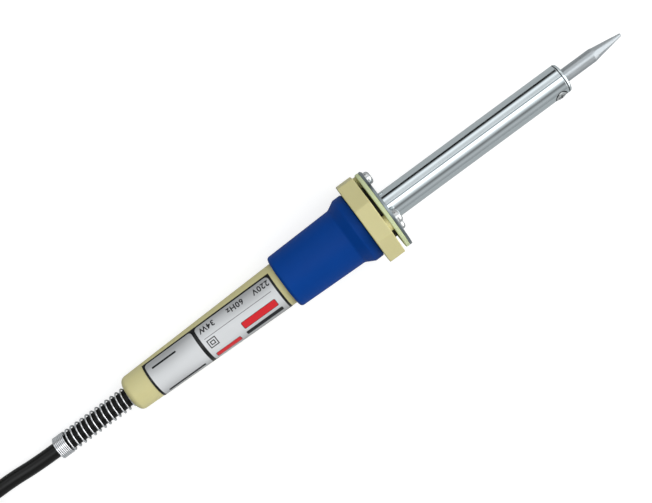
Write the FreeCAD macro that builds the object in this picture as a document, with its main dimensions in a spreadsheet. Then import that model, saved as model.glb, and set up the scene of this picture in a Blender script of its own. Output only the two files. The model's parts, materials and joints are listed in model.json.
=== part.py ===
"""Mains soldering iron with a screw-held bit, an octagonal guard and a sprung cord outlet.

Every piece of the iron is modelled along the iron's own axis: +X runs from the front
face of the guard towards the tip, and a piece that faces one way round the axis faces
+Z before its roll.  The iron then lies as it does on a bench, on the guard's lower flat
and on the tail of the spring, so each piece's Placement tips the nose up by that angle.
The cord, its hank and its plug are laid straight on the bench.
"""
import FreeCAD, Part
import math
import os
import Sketcher

Vector = FreeCAD.Vector
ALONG, ACROSS, UP = Vector(1, 0, 0), Vector(0, 1, 0), Vector(0, 0, 1)

doc = FreeCAD.newDocument("soldering_iron")
dim = doc.addObject("Spreadsheet::Sheet", "dim")

# ---------------------------------------------------------------- driving dimensions
# millimetres and degrees; places along the axis are measured from the guard's front face
DRIVING = {
    "bit": {
        "tip_point": 103.4, "bit_radius": 2.5, "bit_length": 80.0, "bit_cone_length": 10.5,
        "bit_shoulder": 1.6, "bit_neck_radius": 2.25, "bit_flat_reach": 2.12,
        "bit_end_reach": 0.42, "bit_end_radius": 0.5, "bit_end_round": 0.35,
    },
    "barrel": {
        "barrel_radius": 5.5, "barrel_wall": 0.5, "barrel_front": 77.7,
        "foot_radius": 8.0, "foot_thickness": 0.5, "screw_hole_radius": 2.4,
    },
    "bush": {
        "bush_length": 7.7, "bush_lip": 1.3, "bush_lip_round": 0.9, "bit_running_gap": 0.05,
        "bush_fit": 0.03, "thread_gap": 0.05,
    },
    "bit screw": {
        "bit_screw_place": 74.4, "bit_screw_roll": 63.0, "bit_screw_radius": 1.5,
        "bit_screw_head_radius": 2.05, "bit_screw_head": 1.35, "bit_screw_dome": 0.15,
        "recess_width": 0.55, "recess_length": 2.6, "recess_depth": 0.8,
    },
    "guard": {
        "guard_flats": 30.9, "guard_thickness": 6.4, "guard_round": 0.35,
        "boss_radius": 3.0, "boss_height": 1.2, "screw_circle": 12.0, "screw_roll": 16.7,
        "pilot_depth": 5.2,
    },
    "shield": {
        "washer_radius": 15.3, "washer_thickness": 1.5, "washer_round": 0.35,
        "shield_thickness": 1.0, "shield_gap": 0.1, "screw_clearance": 0.15,
        "hub_radius": 10.2, "hub_bore": 5.7, "hub_gap": 0.2,
    },
    "shield screws": {
        "screw_radius": 1.25, "screw_grip": 4.6, "pan_radius": 2.4, "pan_height": 1.7,
        "pan_round": 0.9, "flat_washer_radius": 2.9, "flat_washer_thickness": 0.4,
    },
    "handle": {
        "handle_length": 106.3, "handle_rear_radius": 6.66, "handle_front_radius": 9.02,
        "handle_rear_round": 2.2, "outlet_depth": 8.0, "outlet_wall": 4.0,
        "cavity_radius": 5.5, "mouth_radius": 7.2, "mouth_depth": 14.0,
    },
    "grip": {
        "grip_rear": 40.2, "grip_rear_radius": 10.3, "grip_waist": 13.4,
        "grip_waist_radius": 10.96, "grip_flare": 3.4, "grip_front_radius": 12.8,
        "grip_rear_round": 1.2, "grip_front_round": 0.7, "grip_flare_round": 3.0,
        "slip_fit": 0.05,
    },
    "label": {
        "label_rear": 96.5, "label_length": 54.1, "label_width": 18.1,
        "label_thickness": 0.12, "label_roll": 13.2, "label_glue": 0.02,
    },
    "cord outlet": {
        "spring_end": 137.9, "wire_radius": 0.3, "coil_gap": 0.4, "coil_pitch": 2.15,
        "closed_pitch": 0.62, "closed_turns": 7.0, "seated_turns": 1.5, "pitch_ramp": 0.75,
        "outlet_gap": 0.1, "cord_radius": 2.7, "cord_gap": 0.05, "sleeve_wall": 0.35,
        "jacket_tail": 74.0, "ferrule_length": 6.0, "ferrule_wall": 0.9,
    },
    "heater": {
        "former_bore_gap": 0.1, "former_wall": 0.5, "former_length": 48.7,
        "heater_wire_radius": 0.2, "heater_pitch": 1.7, "heater_turns": 25.0,
        "heater_start": 25.0, "heater_gap": 0.05, "mica_gap": 0.1, "mica_wall": 0.4,
        "insulator_length": 8.0, "insulator_seat": 1.0, "insulator_fit": 0.1,
        "insulator_bore": 1.5,
    },
    "wiring": {
        "lead_gap": 0.1, "lead_radius": 0.2, "lead_tail": 36.0, "sleeving_wall": 0.4,
        "sleeving_tail": 30.0, "sleeving_gap": 0.1, "crimp_rear": 42.0, "crimp_length": 11.0,
        "crimp_bore": 0.6, "crimp_wall": 0.5, "cap_wall": 0.35, "cap_overhang": 3.0,
        "core_offset": 1.2, "core_radius": 1.1, "strand_radius": 0.5, "strand_length": 5.0,
        "core_bend_front": 47.0, "core_bend_rear": 64.0,
    },
    "hank": {
        "hank_length": 118.8, "hank_width": 37.8, "hank_layers": 5.0, "hank_corner": 18.0,
        "hank_aside": 7.0,
        "tie_width": 9.0, "tie_thickness": 0.6, "tie_gap": 0.1,
    },
    "plug": {
        "plug_width": 35.3, "plug_height": 14.0, "plug_depth": 21.0, "plug_shoulder": 10.0,
        "plug_round": 1.2, "pin_radius": 2.0, "pin_length": 19.0, "pin_spacing": 19.0,
        "pin_round": 1.6, "pin_seat": 6.0, "pin_root": 1.5, "relief_length": 22.0, "relief_rear_radius": 4.6,
        "relief_end_radius": 3.5,
    },
}

row = 1
for heading, group in DRIVING.items():
    dim.set(f"A{row}", heading)
    row += 1
    for name, value in group.items():
        dim.set(f"A{row}", name.replace("_", " "))
        dim.set(f"B{row}", str(value))
        dim.setAlias(f"B{row}", name)
        row += 1
doc.recompute()


def size(name):
    """The driving dimension's present value in the spreadsheet."""
    return float(getattr(dim, name))


# radii that stack up from the pieces inside them, as expressions and as present values
SLEEVE_OUTER = "dim.cord_radius + dim.cord_gap + dim.sleeve_wall"
COIL_OUTER = SLEEVE_OUTER + " + dim.coil_gap + dim.wire_radius * 2"
OUTLET_RADIUS = COIL_OUTER + " + dim.outlet_gap"
FORMER_INNER = "dim.bit_radius + dim.former_bore_gap"
FORMER_OUTER = FORMER_INNER + " + dim.former_wall"
LEAD_OFFSET = "(" + FORMER_OUTER + " + dim.lead_gap + dim.lead_radius)"
coil_outer = (size("cord_radius") + size("cord_gap") + size("sleeve_wall") + size("coil_gap")
              + size("wire_radius") * 2)
coil_radius = coil_outer - size("wire_radius")
former_outer = size("bit_radius") + size("former_bore_gap") + size("former_wall")
lead_offset = former_outer + size("lead_gap") + size("lead_radius")


# ---------------------------------------------------------------- how the iron lies
def resting_tilt():
    """Nose-up angle at which the guard's rounded lower edge and the spring's last turn
    both touch the bench."""
    rise = size("guard_flats") / 2 - size("guard_round") - coil_radius
    run = size("spring_end") - size("wire_radius") - size("guard_thickness") + size("guard_round")
    spare = size("guard_round") - size("wire_radius")
    return math.atan2(rise, run) + math.asin(spare / math.hypot(rise, run))


TILT = resting_tilt()
edge_x = size("guard_round") - size("guard_thickness")
edge_z = size("guard_flats") / 2 - size("guard_round")
LIFT = edge_z * math.cos(TILT) - edge_x * math.sin(TILT) + size("guard_round")
front_reach = size("tip_point") * math.cos(TILT)
back_reach = size("spring_end") * math.cos(TILT) + coil_outer * math.sin(TILT)
SHIFT = (back_reach - front_reach) / 2
LYING = FreeCAD.Placement(Vector(SHIFT, 0, LIFT), FreeCAD.Rotation(ACROSS, -math.degrees(TILT)))


def on_iron(roll=0.0, place=0.0):
    """Placement of a piece of the iron: slid along the axis, rolled about it, then laid down."""
    return LYING * FreeCAD.Placement(Vector(place, 0, 0), FreeCAD.Rotation(ALONG, roll))


# ---------------------------------------------------------------- modelling helpers
PIECES = {}


def keep(piece, name, placement):
    """Name a finished sub-part and put it in its place."""
    piece.Label = name
    piece.Placement = placement
    PIECES[name] = piece
    return piece


def new_body(name):
    body = doc.addObject("PartDesign::Body", name + "_body")
    body.AllowCompound = True
    return body


def origin_part(body, role):
    return next(item for item in body.Origin.OriginFeatures if item.Role == role)


def new_sketch(body, plane, height=None):
    """Sketch on one of the body's own origin planes, lifted off it by an expression."""
    sketch = body.newObject("Sketcher::SketchObject", "sketch")
    sketch.AttachmentSupport = [(origin_part(body, plane), "")]
    sketch.MapMode = "FlatFace"
    if height:
        sketch.setExpression("AttachmentOffset.Base.z", height)
    return sketch


def drive(sketch, kind, places, value, text):
    """Add a dimension to a sketch and bind it to an expression."""
    index = sketch.addConstraint(Sketcher.Constraint(kind, *places, value))
    sketch.setExpression(f"Constraints[{index}]", text)


def add_outline(sketch, corners):
    """Closed outline of straight sides, each corner held by two driven dimensions."""
    first = sketch.GeometryCount
    count = len(corners)
    turns = [2 * math.pi * step / count for step in range(count)]
    start = [Vector(math.cos(turn), math.sin(turn), 0) for turn in turns]
    for step in range(count):
        sketch.addGeometry(Part.LineSegment(start[step], start[(step + 1) % count]), False)
    for step in range(count):
        after = first + (step + 1) % count
        sketch.addConstraint(Sketcher.Constraint("Coincident", first + step, 2, after, 1))
    for step, (across, up) in enumerate(corners):
        drive(sketch, "DistanceX", (-1, 1, first + step, 1), start[step].x, across)
        drive(sketch, "DistanceY", (-1, 1, first + step, 1), start[step].y, up)
    return sketch


def add_circle(sketch, across, up, radius):
    """Circle with a driven centre and radius."""
    index = sketch.addGeometry(Part.Circle(Vector(1, 1, 0), UP, 1), False)
    drive(sketch, "DistanceX", (-1, 1, index, 3), 1, across)
    drive(sketch, "DistanceY", (-1, 1, index, 3), 1, up)
    drive(sketch, "Radius", (index,), 1, radius)
    return sketch


def box_corners(left, right, low, high):
    return [(left, low), (right, low), (right, high), (left, high)]


def revolve(body, corners, axis="H_Axis", plane="XZ_Plane"):
    """Turn an outline through a full circle about one of its sketch's axes."""
    feature = body.newObject("PartDesign::Revolution", "turned")
    feature.Profile = add_outline(new_sketch(body, plane), corners)
    feature.ReferenceAxis = (feature.Profile[0], [axis])
    feature.Angle = 360
    return feature


def turned(name, corners, placement):
    """Sub-part that is one turned shape about the iron's axis."""
    body = new_body(name)
    revolve(body, corners)
    return keep(body, name, placement)


def ring_corners(rear, front, inner, outer):
    return box_corners(rear, front, inner, outer)


def pad(body, sketch, length, midplane=False, backwards=False):
    feature = body.newObject("PartDesign::Pad", "pad")
    feature.Profile = sketch
    feature.setExpression("Length", length)
    feature.Midplane = midplane
    feature.Reversed = backwards
    return feature


def pocket(body, sketch, length=None, forwards=False):
    """Cut a sketch's outline out of the body: right through both ways, or one way to a depth."""
    feature = body.newObject("PartDesign::Pocket", "pocket")
    feature.Profile = sketch
    if length is None:
        feature.Type = "ThroughAll"
        feature.Midplane = True
    else:
        feature.setExpression("Length", length)
        feature.Reversed = forwards
    return feature


def ring_of(body, features, count):
    """Repeat features evenly round the iron's axis."""
    pattern = body.newObject("PartDesign::PolarPattern", "ring")
    pattern.Originals = features
    pattern.Axis = (origin_part(body, "X_Axis"), [""])
    pattern.Angle = 360
    pattern.Occurrences = count
    body.Tip = pattern
    return pattern


def rim_edges(shape, place, reach):
    """Names of the edges that lie in the plane across the axis at a place, outside a radius."""
    names = []
    for number, edge in enumerate(shape.Edges, 1):
        box = edge.BoundBox
        flat = abs(box.XMin - place) < 0.001 and abs(box.XMax - place) < 0.001
        if flat and min(math.hypot(v.Y, v.Z) for v in edge.Vertexes) > reach:
            names.append(f"Edge{number}")
    return names


def round_rim(body, place, reach, radius):
    """Fillet the edges found at one place along the axis."""
    doc.recompute()
    base = body.Tip
    feature = body.newObject("PartDesign::Fillet", "round")
    feature.Base = (base, rim_edges(base.Shape, place, reach))
    feature.setExpression("Radius", radius)
    return feature


def route_wire(points):
    """Straight runs joined by tangent arcs, each as large as its two runs allow."""
    radii = []
    edges = []
    last = points[0]
    for before, corner, after in zip(points, points[1:], points[2:]):
        arrive, leave = (corner - before), (after - corner)
        turn = arrive.getAngle(leave)
        reach = 0.45 * min(arrive.Length, leave.Length)
        radii.append(reach / math.tan(turn / 2))
        arrive.normalize()
        leave.normalize()
        begin, end = corner - arrive * reach, corner + leave * reach
        inward = leave - arrive
        inward.normalize()
        centre_gap = radii[-1] / math.cos(turn / 2)
        middle = corner + inward * (centre_gap - radii[-1])
        edges += [Part.LineSegment(last, begin).toShape(), Part.Arc(begin, middle, end).toShape()]
        last = end
    edges.append(Part.LineSegment(last, points[-1]).toShape())
    return Part.Wire(edges), radii


def tube_along(points, radius):
    """Solid round tube along a route, with its volume held against section times length."""
    wire, radii = route_wire(points)
    start = Part.Wire(Part.makeCircle(radius, points[0], points[1] - points[0]))
    tube = wire.makePipeShell([start], True, False)
    expected = math.pi * radius ** 2 * wire.Length
    assert abs(tube.Volume - expected) < 0.01 * expected, "tube volume"
    return tube, wire.Length, radii


def feature_of(name, shape, placement):
    """Sub-part whose shape is made with Part's own functions."""
    piece = doc.addObject("Part::Feature", name + "_shape")
    piece.Shape = shape
    return keep(piece, name, placement)


# ---------------------------------------------------------------- bit and its holding screw
def soldering_tip():
    """Round rod with a short shoulder and eight ground flats that run out to the point."""
    body = new_body("soldering_tip")
    cone_start = "dim.tip_point - dim.bit_cone_length"
    revolve(body, [
        ("dim.tip_point - dim.bit_length", "0"),
        ("dim.tip_point", "0"),
        ("dim.tip_point", "dim.bit_end_radius"),
        (cone_start, "dim.bit_neck_radius"),
        (cone_start + " - dim.bit_shoulder", "dim.bit_radius"),
        ("dim.tip_point - dim.bit_length", "dim.bit_radius"),
    ])
    round_rim(body, size("tip_point"), 0, "dim.bit_end_round")
    flat = add_outline(new_sketch(body, "XZ_Plane"), [
        (cone_start, "dim.bit_flat_reach"),
        ("dim.tip_point + 1", "dim.bit_end_reach"),
        ("dim.tip_point + 1", "dim.bit_radius * 2"),
        (cone_start, "dim.bit_radius * 2"),
    ])
    ring_of(body, [pocket(body, flat)], 8)
    return keep(body, "soldering_tip", on_iron())


def bit_screw_seat(body, radius, depth):
    """Round pocket cut outwards through the wall above the axis, from a given height."""
    sketch = add_circle(new_sketch(body, "XY_Plane", depth), "dim.bit_screw_place", "0", radius)
    return pocket(body, sketch, "dim.barrel_radius * 2", forwards=True)


HEAD_SEAT = "dim.barrel_radius - dim.bit_screw_head"


def tip_bush():
    """Turned bush that guides the bit, closes the barrel and takes the screw's thread."""
    body = new_body("tip_bush")
    bore = "dim.bit_radius + dim.bit_running_gap"
    inside = "dim.barrel_radius - dim.barrel_wall - dim.bush_fit"
    lip = "dim.barrel_front + dim.bush_lip"
    revolve(body, [
        ("dim.barrel_front - dim.bush_length", bore),
        (lip, bore),
        (lip, "dim.barrel_radius"),
        ("dim.barrel_front", "dim.barrel_radius"),
        ("dim.barrel_front", inside),
        ("dim.barrel_front - dim.bush_length", inside),
    ])
    round_rim(body, size("barrel_front") + size("bush_lip"), 4, "dim.bush_lip_round")
    bit_screw_seat(body, "dim.bit_screw_radius", "0")
    bit_screw_seat(body, "dim.bit_screw_head_radius + dim.screw_clearance",
                   HEAD_SEAT + " - dim.thread_gap")
    return keep(body, "tip_bush", on_iron(size("bit_screw_roll")))


def barrel_tube():
    """Thin tube with a turned-out foot, and a hole that clears the bit screw's head."""
    body = new_body("barrel_tube")
    inside = "dim.barrel_radius - dim.barrel_wall"
    foot = "dim.boss_height + dim.washer_thickness - dim.foot_thickness"
    shield = "dim.boss_height + dim.washer_thickness"
    revolve(body, [
        (foot, inside),
        ("dim.barrel_front", inside),
        ("dim.barrel_front", "dim.barrel_radius"),
        (shield, "dim.barrel_radius"),
        (shield, "dim.foot_radius"),
        (foot, "dim.foot_radius"),
    ])
    bit_screw_seat(body, "dim.screw_hole_radius", "0")
    return keep(body, "barrel_tube", on_iron(size("bit_screw_roll")))


def cross_recess(body, height):
    """Cross cut into a screw head whose axis is the body's Z, sketched above it."""
    cuts = []
    long_half, short_half = "dim.recess_length / 2", "dim.recess_width / 2"
    for half_x, half_y in ((long_half, short_half), (short_half, long_half)):
        corners = box_corners(f"-({half_x})", half_x, f"-({half_y})", half_y)
        cuts.append(pocket(body, add_outline(new_sketch(body, "XY_Plane", height), corners),
                           "dim.recess_depth"))
    return cuts


def tip_screw():
    """Cheese-head screw, almost flush with the barrel, whose end bears on the bit."""
    body = new_body("tip_screw")
    end = "dim.bit_radius + dim.bit_running_gap"
    top = "dim.barrel_radius"
    revolve(body, [
        ("0", end),
        ("dim.bit_screw_radius - dim.thread_gap", end),
        ("dim.bit_screw_radius - dim.thread_gap", HEAD_SEAT),
        ("dim.bit_screw_head_radius", HEAD_SEAT),
        ("dim.bit_screw_head_radius", top),
        ("dim.bit_screw_head_radius * 0.6", top + " + dim.bit_screw_dome"),
        ("0", top + " + dim.bit_screw_dome"),
    ], axis="V_Axis")
    cross_recess(body, top + " + dim.bit_screw_dome")
    roll = size("bit_screw_roll")
    return keep(body, "tip_screw", on_iron(roll, size("bit_screw_place")))


# ---------------------------------------------------------------- guard, shield and screws
def handle_body():
    """Moulded tapered handle with its octagonal guard, three screw bosses and wire cavity."""
    body = new_body("handle_body")
    corner = "dim.guard_flats / 2 / cos(22.5 deg) * 0.994"
    wall_rear = "-dim.handle_length + dim.outlet_depth"
    wall_front = wall_rear + " + dim.outlet_wall"
    cord_hole = "dim.cord_radius + dim.cord_gap * 3"
    revolve(body, [
        ("-dim.handle_length", OUTLET_RADIUS),
        (wall_rear, OUTLET_RADIUS),
        (wall_rear, cord_hole),
        (wall_front, cord_hole),
        (wall_front, "dim.cavity_radius"),
        ("-dim.mouth_depth", "dim.cavity_radius"),
        ("-dim.mouth_depth", "dim.mouth_radius"),
        ("0", "dim.mouth_radius"),
        ("0", corner),
        ("-dim.guard_thickness", corner),
        ("-dim.guard_thickness", "dim.handle_front_radius"),
        ("-dim.handle_length", "dim.handle_rear_radius"),
    ])
    flat = box_corners("-dim.guard_thickness - 1", "1", "dim.guard_flats / 2", "dim.guard_flats")
    ring_of(body, [pocket(body, add_outline(new_sketch(body, "XZ_Plane"), flat))], 8)
    round_rim(body, 0, size("guard_flats") / 2 - 0.1, "dim.guard_round")
    rear_face = -size("guard_thickness")
    round_rim(body, rear_face, size("guard_flats") / 2 - 0.1, "dim.guard_round")
    rear_reach = size("handle_rear_radius") - 0.1
    rear_wall = f"dim.handle_rear_radius - ({OUTLET_RADIUS})"
    round_rim(body, -size("handle_length"), rear_reach,
              f"min(dim.handle_rear_round; 0.95 * ({rear_wall}))")
    add_bosses(body)
    return keep(body, "handle_body", on_iron())


def add_bosses(body):
    """Three bosses with pilot holes, turned to the screws' own places round the guard."""
    across = "-dim.screw_circle * sin(dim.screw_roll * 1 deg)"
    up = "dim.screw_circle * cos(dim.screw_roll * 1 deg)"
    boss = pad(body, add_circle(new_sketch(body, "YZ_Plane"), across, up, "dim.boss_radius"),
               "dim.boss_height")
    hole_sketch = add_circle(new_sketch(body, "YZ_Plane", "dim.boss_height"),
                             across, up, "dim.screw_radius + dim.thread_gap")
    hole = pocket(body, hole_sketch, "dim.pilot_depth + dim.boss_height")
    ring_of(body, [boss, hole], 3)


def drilled_disc(name, corners, hole_radius):
    """Turned disc with three screw holes on the guard's screw circle."""
    body = new_body(name)
    revolve(body, corners)
    sketch = add_circle(new_sketch(body, "YZ_Plane"), "0", "dim.screw_circle", hole_radius)
    ring_of(body, [pocket(body, sketch)], 3)
    return keep(body, name, on_iron(size("screw_roll")))


def shield_stack():
    """Hub spacer, insulating washer and steel heat shield, from the guard outwards."""
    screw_hole = "dim.screw_radius + dim.screw_clearance"
    drilled_disc("hub_spacer", ring_corners("0", "dim.boss_height", "dim.hub_bore",
                                            "dim.hub_radius"), "dim.boss_radius + dim.hub_gap")
    rear = "dim.boss_height"
    front = "dim.boss_height + dim.washer_thickness"
    pocket_floor = front + " - dim.foot_thickness"
    pocket_wall = "dim.foot_radius + dim.shield_gap"
    washer = drilled_disc("insulating_washer", [
        (rear, "dim.hub_bore"), (pocket_floor, "dim.hub_bore"), (pocket_floor, pocket_wall),
        (front, pocket_wall), (front, "dim.washer_radius"), (rear, "dim.washer_radius"),
    ], screw_hole)
    for place in (size("boss_height"), size("boss_height") + size("washer_thickness")):
        round_rim(washer, place, size("washer_radius") - 0.1, "dim.washer_round")
    drilled_disc("heat_shield_plate", ring_corners(
        front, front + " + dim.shield_thickness", "dim.barrel_radius + dim.shield_gap",
        "dim.washer_radius"), screw_hole)


def lifted_outline(body, corners):
    """Outline on the upright plane, its origin raised to the screw circle."""
    sketch = new_sketch(body, "XZ_Plane")
    sketch.setExpression("AttachmentOffset.Base.y", "dim.screw_circle")
    return add_outline(sketch, corners)


def turned_on_circle(body, corners):
    """Turned shape whose own axis is one of the guard's three screw axes."""
    feature = body.newObject("PartDesign::Revolution", "turned")
    feature.Profile = lifted_outline(body, corners)
    feature.ReferenceAxis = (feature.Profile[0], ["H_Axis"])
    feature.Angle = 360
    return feature


def shield_screws():
    """Three pan-head screws and their flat washers, evenly round the guard."""
    shield = "dim.boss_height + dim.washer_thickness + dim.shield_thickness"
    seat = shield + " + dim.flat_washer_thickness"
    washers = new_body("shield_screw_washers")
    flat = turned_on_circle(washers, ring_corners(
        shield, seat, "dim.screw_radius + dim.screw_clearance", "dim.flat_washer_radius"))
    ring_of(washers, [flat], 3)
    keep(washers, "shield_screw_washers", on_iron(size("screw_roll")))

    screws = new_body("shield_screws")
    top = seat + " + dim.pan_height"
    shank_end = "-dim.screw_grip"
    turned_screw = turned_on_circle(screws, [
        (shank_end, "0"),
        (top, "0"),
        (top, "dim.pan_radius - dim.pan_round"),
        (top + " - dim.pan_round * 0.35", "dim.pan_radius - dim.pan_round * 0.35"),
        (top + " - dim.pan_round", "dim.pan_radius"),
        (seat, "dim.pan_radius"),
        (seat, "dim.screw_radius"),
        (shank_end, "dim.screw_radius"),
    ])
    cuts = [turned_screw]
    long_half, short_half = "dim.recess_length / 2", "dim.recess_width / 2"
    for half_y, half_z in ((long_half, short_half), (short_half, long_half)):
        sketch = new_sketch(screws, "YZ_Plane", top)
        corners = box_corners(f"-({half_y})", half_y, f"dim.screw_circle - {half_z}",
                              f"dim.screw_circle + {half_z}")
        cuts.append(pocket(screws, add_outline(sketch, corners), "dim.recess_depth"))
    ring_of(screws, cuts, 3)
    keep(screws, "shield_screws", on_iron(size("screw_roll")))


# ---------------------------------------------------------------- grip and label
HANDLE_TAPER = ("(dim.handle_front_radius - dim.handle_rear_radius)"
                " / (dim.handle_length - dim.guard_thickness)")


def handle_surface(place):
    """Expression for the handle's outer radius at a place behind the guard's front face."""
    return f"(dim.handle_rear_radius + (dim.handle_length - ({place})) * {HANDLE_TAPER})"


def grip_sleeve():
    """Soft sleeve pushed on from the rear: tapered, then flared out just behind the guard."""
    body = new_body("grip_sleeve")
    front = "(dim.guard_thickness + dim.slip_fit)"
    revolve(body, [
        ("-dim.grip_rear", handle_surface("dim.grip_rear") + " + dim.slip_fit"),
        (f"-{front}", handle_surface(front) + " + dim.slip_fit"),
        (f"-{front}", "dim.grip_front_radius"),
        ("-(dim.grip_waist - dim.grip_flare)", "dim.grip_front_radius"),
        ("-dim.grip_waist", "dim.grip_waist_radius"),
        ("-dim.grip_rear", "dim.grip_rear_radius"),
    ])
    round_rim(body, -size("grip_rear"), size("grip_rear_radius") - 0.2, "dim.grip_rear_round")
    front_place = -size("guard_thickness") - size("slip_fit")
    round_rim(body, front_place, size("grip_front_radius") - 0.2, "dim.grip_front_round")
    round_rim(body, -size("grip_waist"), size("grip_waist_radius") - 0.2, "dim.grip_flare_round")
    flare_front = size("grip_flare") - size("grip_waist")
    round_rim(body, flare_front, size("grip_front_radius") - 0.2, "dim.grip_front_round")
    return keep(body, "grip_sleeve", on_iron())


def rating_label():
    """Thin label wrapped part of the way round the handle, with parallel long edges."""
    body = new_body("rating_label")
    rear, front = "dim.label_rear", "(dim.label_rear - dim.label_length)"
    shell = body.newObject("PartDesign::Revolution", "turned")
    shell.Profile = add_outline(new_sketch(body, "XZ_Plane"), [
        (f"-{rear}", handle_surface(rear) + " + dim.label_glue"),
        (f"-{front}", handle_surface(front) + " + dim.label_glue"),
        (f"-{front}", handle_surface(front) + " + dim.label_glue + dim.label_thickness"),
        (f"-{rear}", handle_surface(rear) + " + dim.label_glue + dim.label_thickness"),
    ])
    shell.ReferenceAxis = (shell.Profile[0], ["H_Axis"])
    shell.Midplane = True
    shell.setExpression("Angle", "dim.label_width / dim.handle_rear_radius * 1 rad")

    def half_width(place):
        reach = handle_surface(place)
        return f"{reach} * sin(dim.label_width / 2 / {reach} * 1 rad)"

    for side in ("", "-"):
        trim = new_sketch(body, "XY_Plane")
        add_outline(trim, [
            (f"-{rear} - 1", f"{side}({half_width(rear)})"),
            (f"-{front} + 1", f"{side}({half_width(front)})"),
            (f"-{front} + 1", f"{side}dim.handle_front_radius * 2"),
            (f"-{rear} - 1", f"{side}dim.handle_front_radius * 2"),
        ])
        pocket(body, trim)
    return keep(body, "rating_label", on_iron(size("label_roll")))


# ---------------------------------------------------------------- cord outlet
def eased(value):
    """Smooth step from 0 to 1."""
    value = min(max(value, 0.0), 1.0)
    return value * value * (3 - 2 * value)


def coil_points(turns_each_end, between, steps):
    """Points of a coil along -X: close turns, open turns, close turns, with eased pitch."""
    tail_turns, seated_turns = turns_each_end
    total = tail_turns + between + seated_turns
    ramp = size("pitch_ramp")
    place = -size("spring_end") + size("wire_radius")
    points = []
    count = round(total * steps)
    for step in range(count + 1):
        turn = step * total / count
        points.append(Vector(place, coil_radius * -math.sin(2 * math.pi * turn),
                             coil_radius * -math.cos(2 * math.pi * turn)))
        opened = min(eased((turn - tail_turns) / ramp + 0.5),
                     eased((total - seated_turns - turn) / ramp + 0.5))
        pitch = size("closed_pitch") + opened * (size("coil_pitch") - size("closed_pitch"))
        place += pitch * total / count
    return points


def strain_relief_spring():
    """Wire spring seated in the handle's outlet: open turns, then a close-wound tail."""
    length = size("spring_end") - size("handle_length") + size("outlet_depth")
    ends = (size("closed_turns"), size("seated_turns"))
    open_length = length - 2 * size("wire_radius") - sum(ends) * size("closed_pitch")
    points = coil_points(ends, open_length / size("coil_pitch"), 8)
    centre_line = Part.BSplineCurve()
    centre_line.interpolate(points)
    start = centre_line.tangent(centre_line.FirstParameter)[0]
    section = Part.Wire(Part.makeCircle(size("wire_radius"), points[0], start))
    coil = Part.Wire(centre_line.toShape()).makePipeShell([section], True, True)
    return feature_of("strain_relief_spring", coil, on_iron())


def cord_outlet():
    """Sleeve inside the spring, the cord's inner end, and the ferrule that stops its pull."""
    wall_front = "-dim.handle_length + dim.outlet_depth + dim.outlet_wall"
    inner = "dim.cord_radius + dim.cord_gap"
    turned("cord_sleeve", ring_corners(
        "-dim.spring_end + (dim.closed_turns + 1) * dim.closed_pitch",
        "-dim.handle_length + dim.outlet_depth - dim.cord_gap", inner, SLEEVE_OUTER),
        on_iron())
    turned("cord_inner_end", ring_corners("-dim.spring_end", "-dim.jacket_tail", "0",
                                          "dim.cord_radius"), on_iron())
    turned("cord_ferrule", ring_corners(wall_front, wall_front + " + dim.ferrule_length",
                                        inner, inner + " + dim.ferrule_wall"), on_iron())


# ---------------------------------------------------------------- heater and wiring
FORMER_FRONT = "dim.barrel_front - dim.bush_length"
FORMER_REAR = FORMER_FRONT + " - dim.former_length"


def heater():
    """Former, resistance winding, mica wrap and ceramic rear insulator inside the barrel."""
    turned("element_former", ring_corners(FORMER_REAR, FORMER_FRONT, FORMER_INNER, FORMER_OUTER),
           on_iron())
    radius = former_outer + size("heater_gap") + size("heater_wire_radius")
    height = size("heater_turns") * size("heater_pitch")
    helix = Part.makeHelix(size("heater_pitch"), height, radius)
    rise = size("heater_pitch") / (2 * math.pi * radius)
    section = Part.Wire(Part.makeCircle(size("heater_wire_radius"), Vector(radius, 0, 0),
                                        Vector(0, 1, rise)))
    winding = Part.Wire(helix).makePipeShell([section], True, True)
    along_axis = FreeCAD.Placement(Vector(), FreeCAD.Rotation(ACROSS, 90))
    feature_of("element_winding", winding, on_iron(place=size("heater_start")) * along_axis)

    mica_inner = FORMER_OUTER + " + dim.heater_gap + dim.heater_wire_radius * 2 + dim.mica_gap"
    seat_front = FORMER_REAR + " + dim.insulator_seat"
    turned("mica_sleeve", ring_corners(seat_front, FORMER_FRONT, mica_inner,
                                       mica_inner + " + dim.mica_wall"), on_iron())

    body = new_body("rear_insulator")
    inside = "dim.barrel_radius - dim.barrel_wall - dim.insulator_fit"
    recess = FORMER_OUTER + " + dim.slip_fit"
    rear = FORMER_REAR + " - dim.insulator_length"
    revolve(body, [
        (rear, "dim.insulator_bore"), (FORMER_REAR, "dim.insulator_bore"),
        (FORMER_REAR, recess), (seat_front, recess),
        (seat_front, inside), (rear, inside),
    ])
    sketch = new_sketch(body, "YZ_Plane")
    for side in ("", "-"):
        add_circle(sketch, side + LEAD_OFFSET, "0", "dim.lead_radius + dim.sleeving_gap")
    pocket(body, sketch)
    keep(body, "rear_insulator", on_iron())


def paired(name, rear, front, inner, outer):
    """Two equal round lengths, one each side of the axis at the leads' spacing."""
    body = new_body(name)
    sketch = new_sketch(body, "YZ_Plane", rear)
    for side in ("", "-"):
        add_circle(sketch, side + LEAD_OFFSET, "0", outer)
        if inner:
            add_circle(sketch, side + LEAD_OFFSET, "0", inner)
    pad(body, sketch, f"({front}) - ({rear})")
    return keep(body, name, on_iron())


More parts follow.
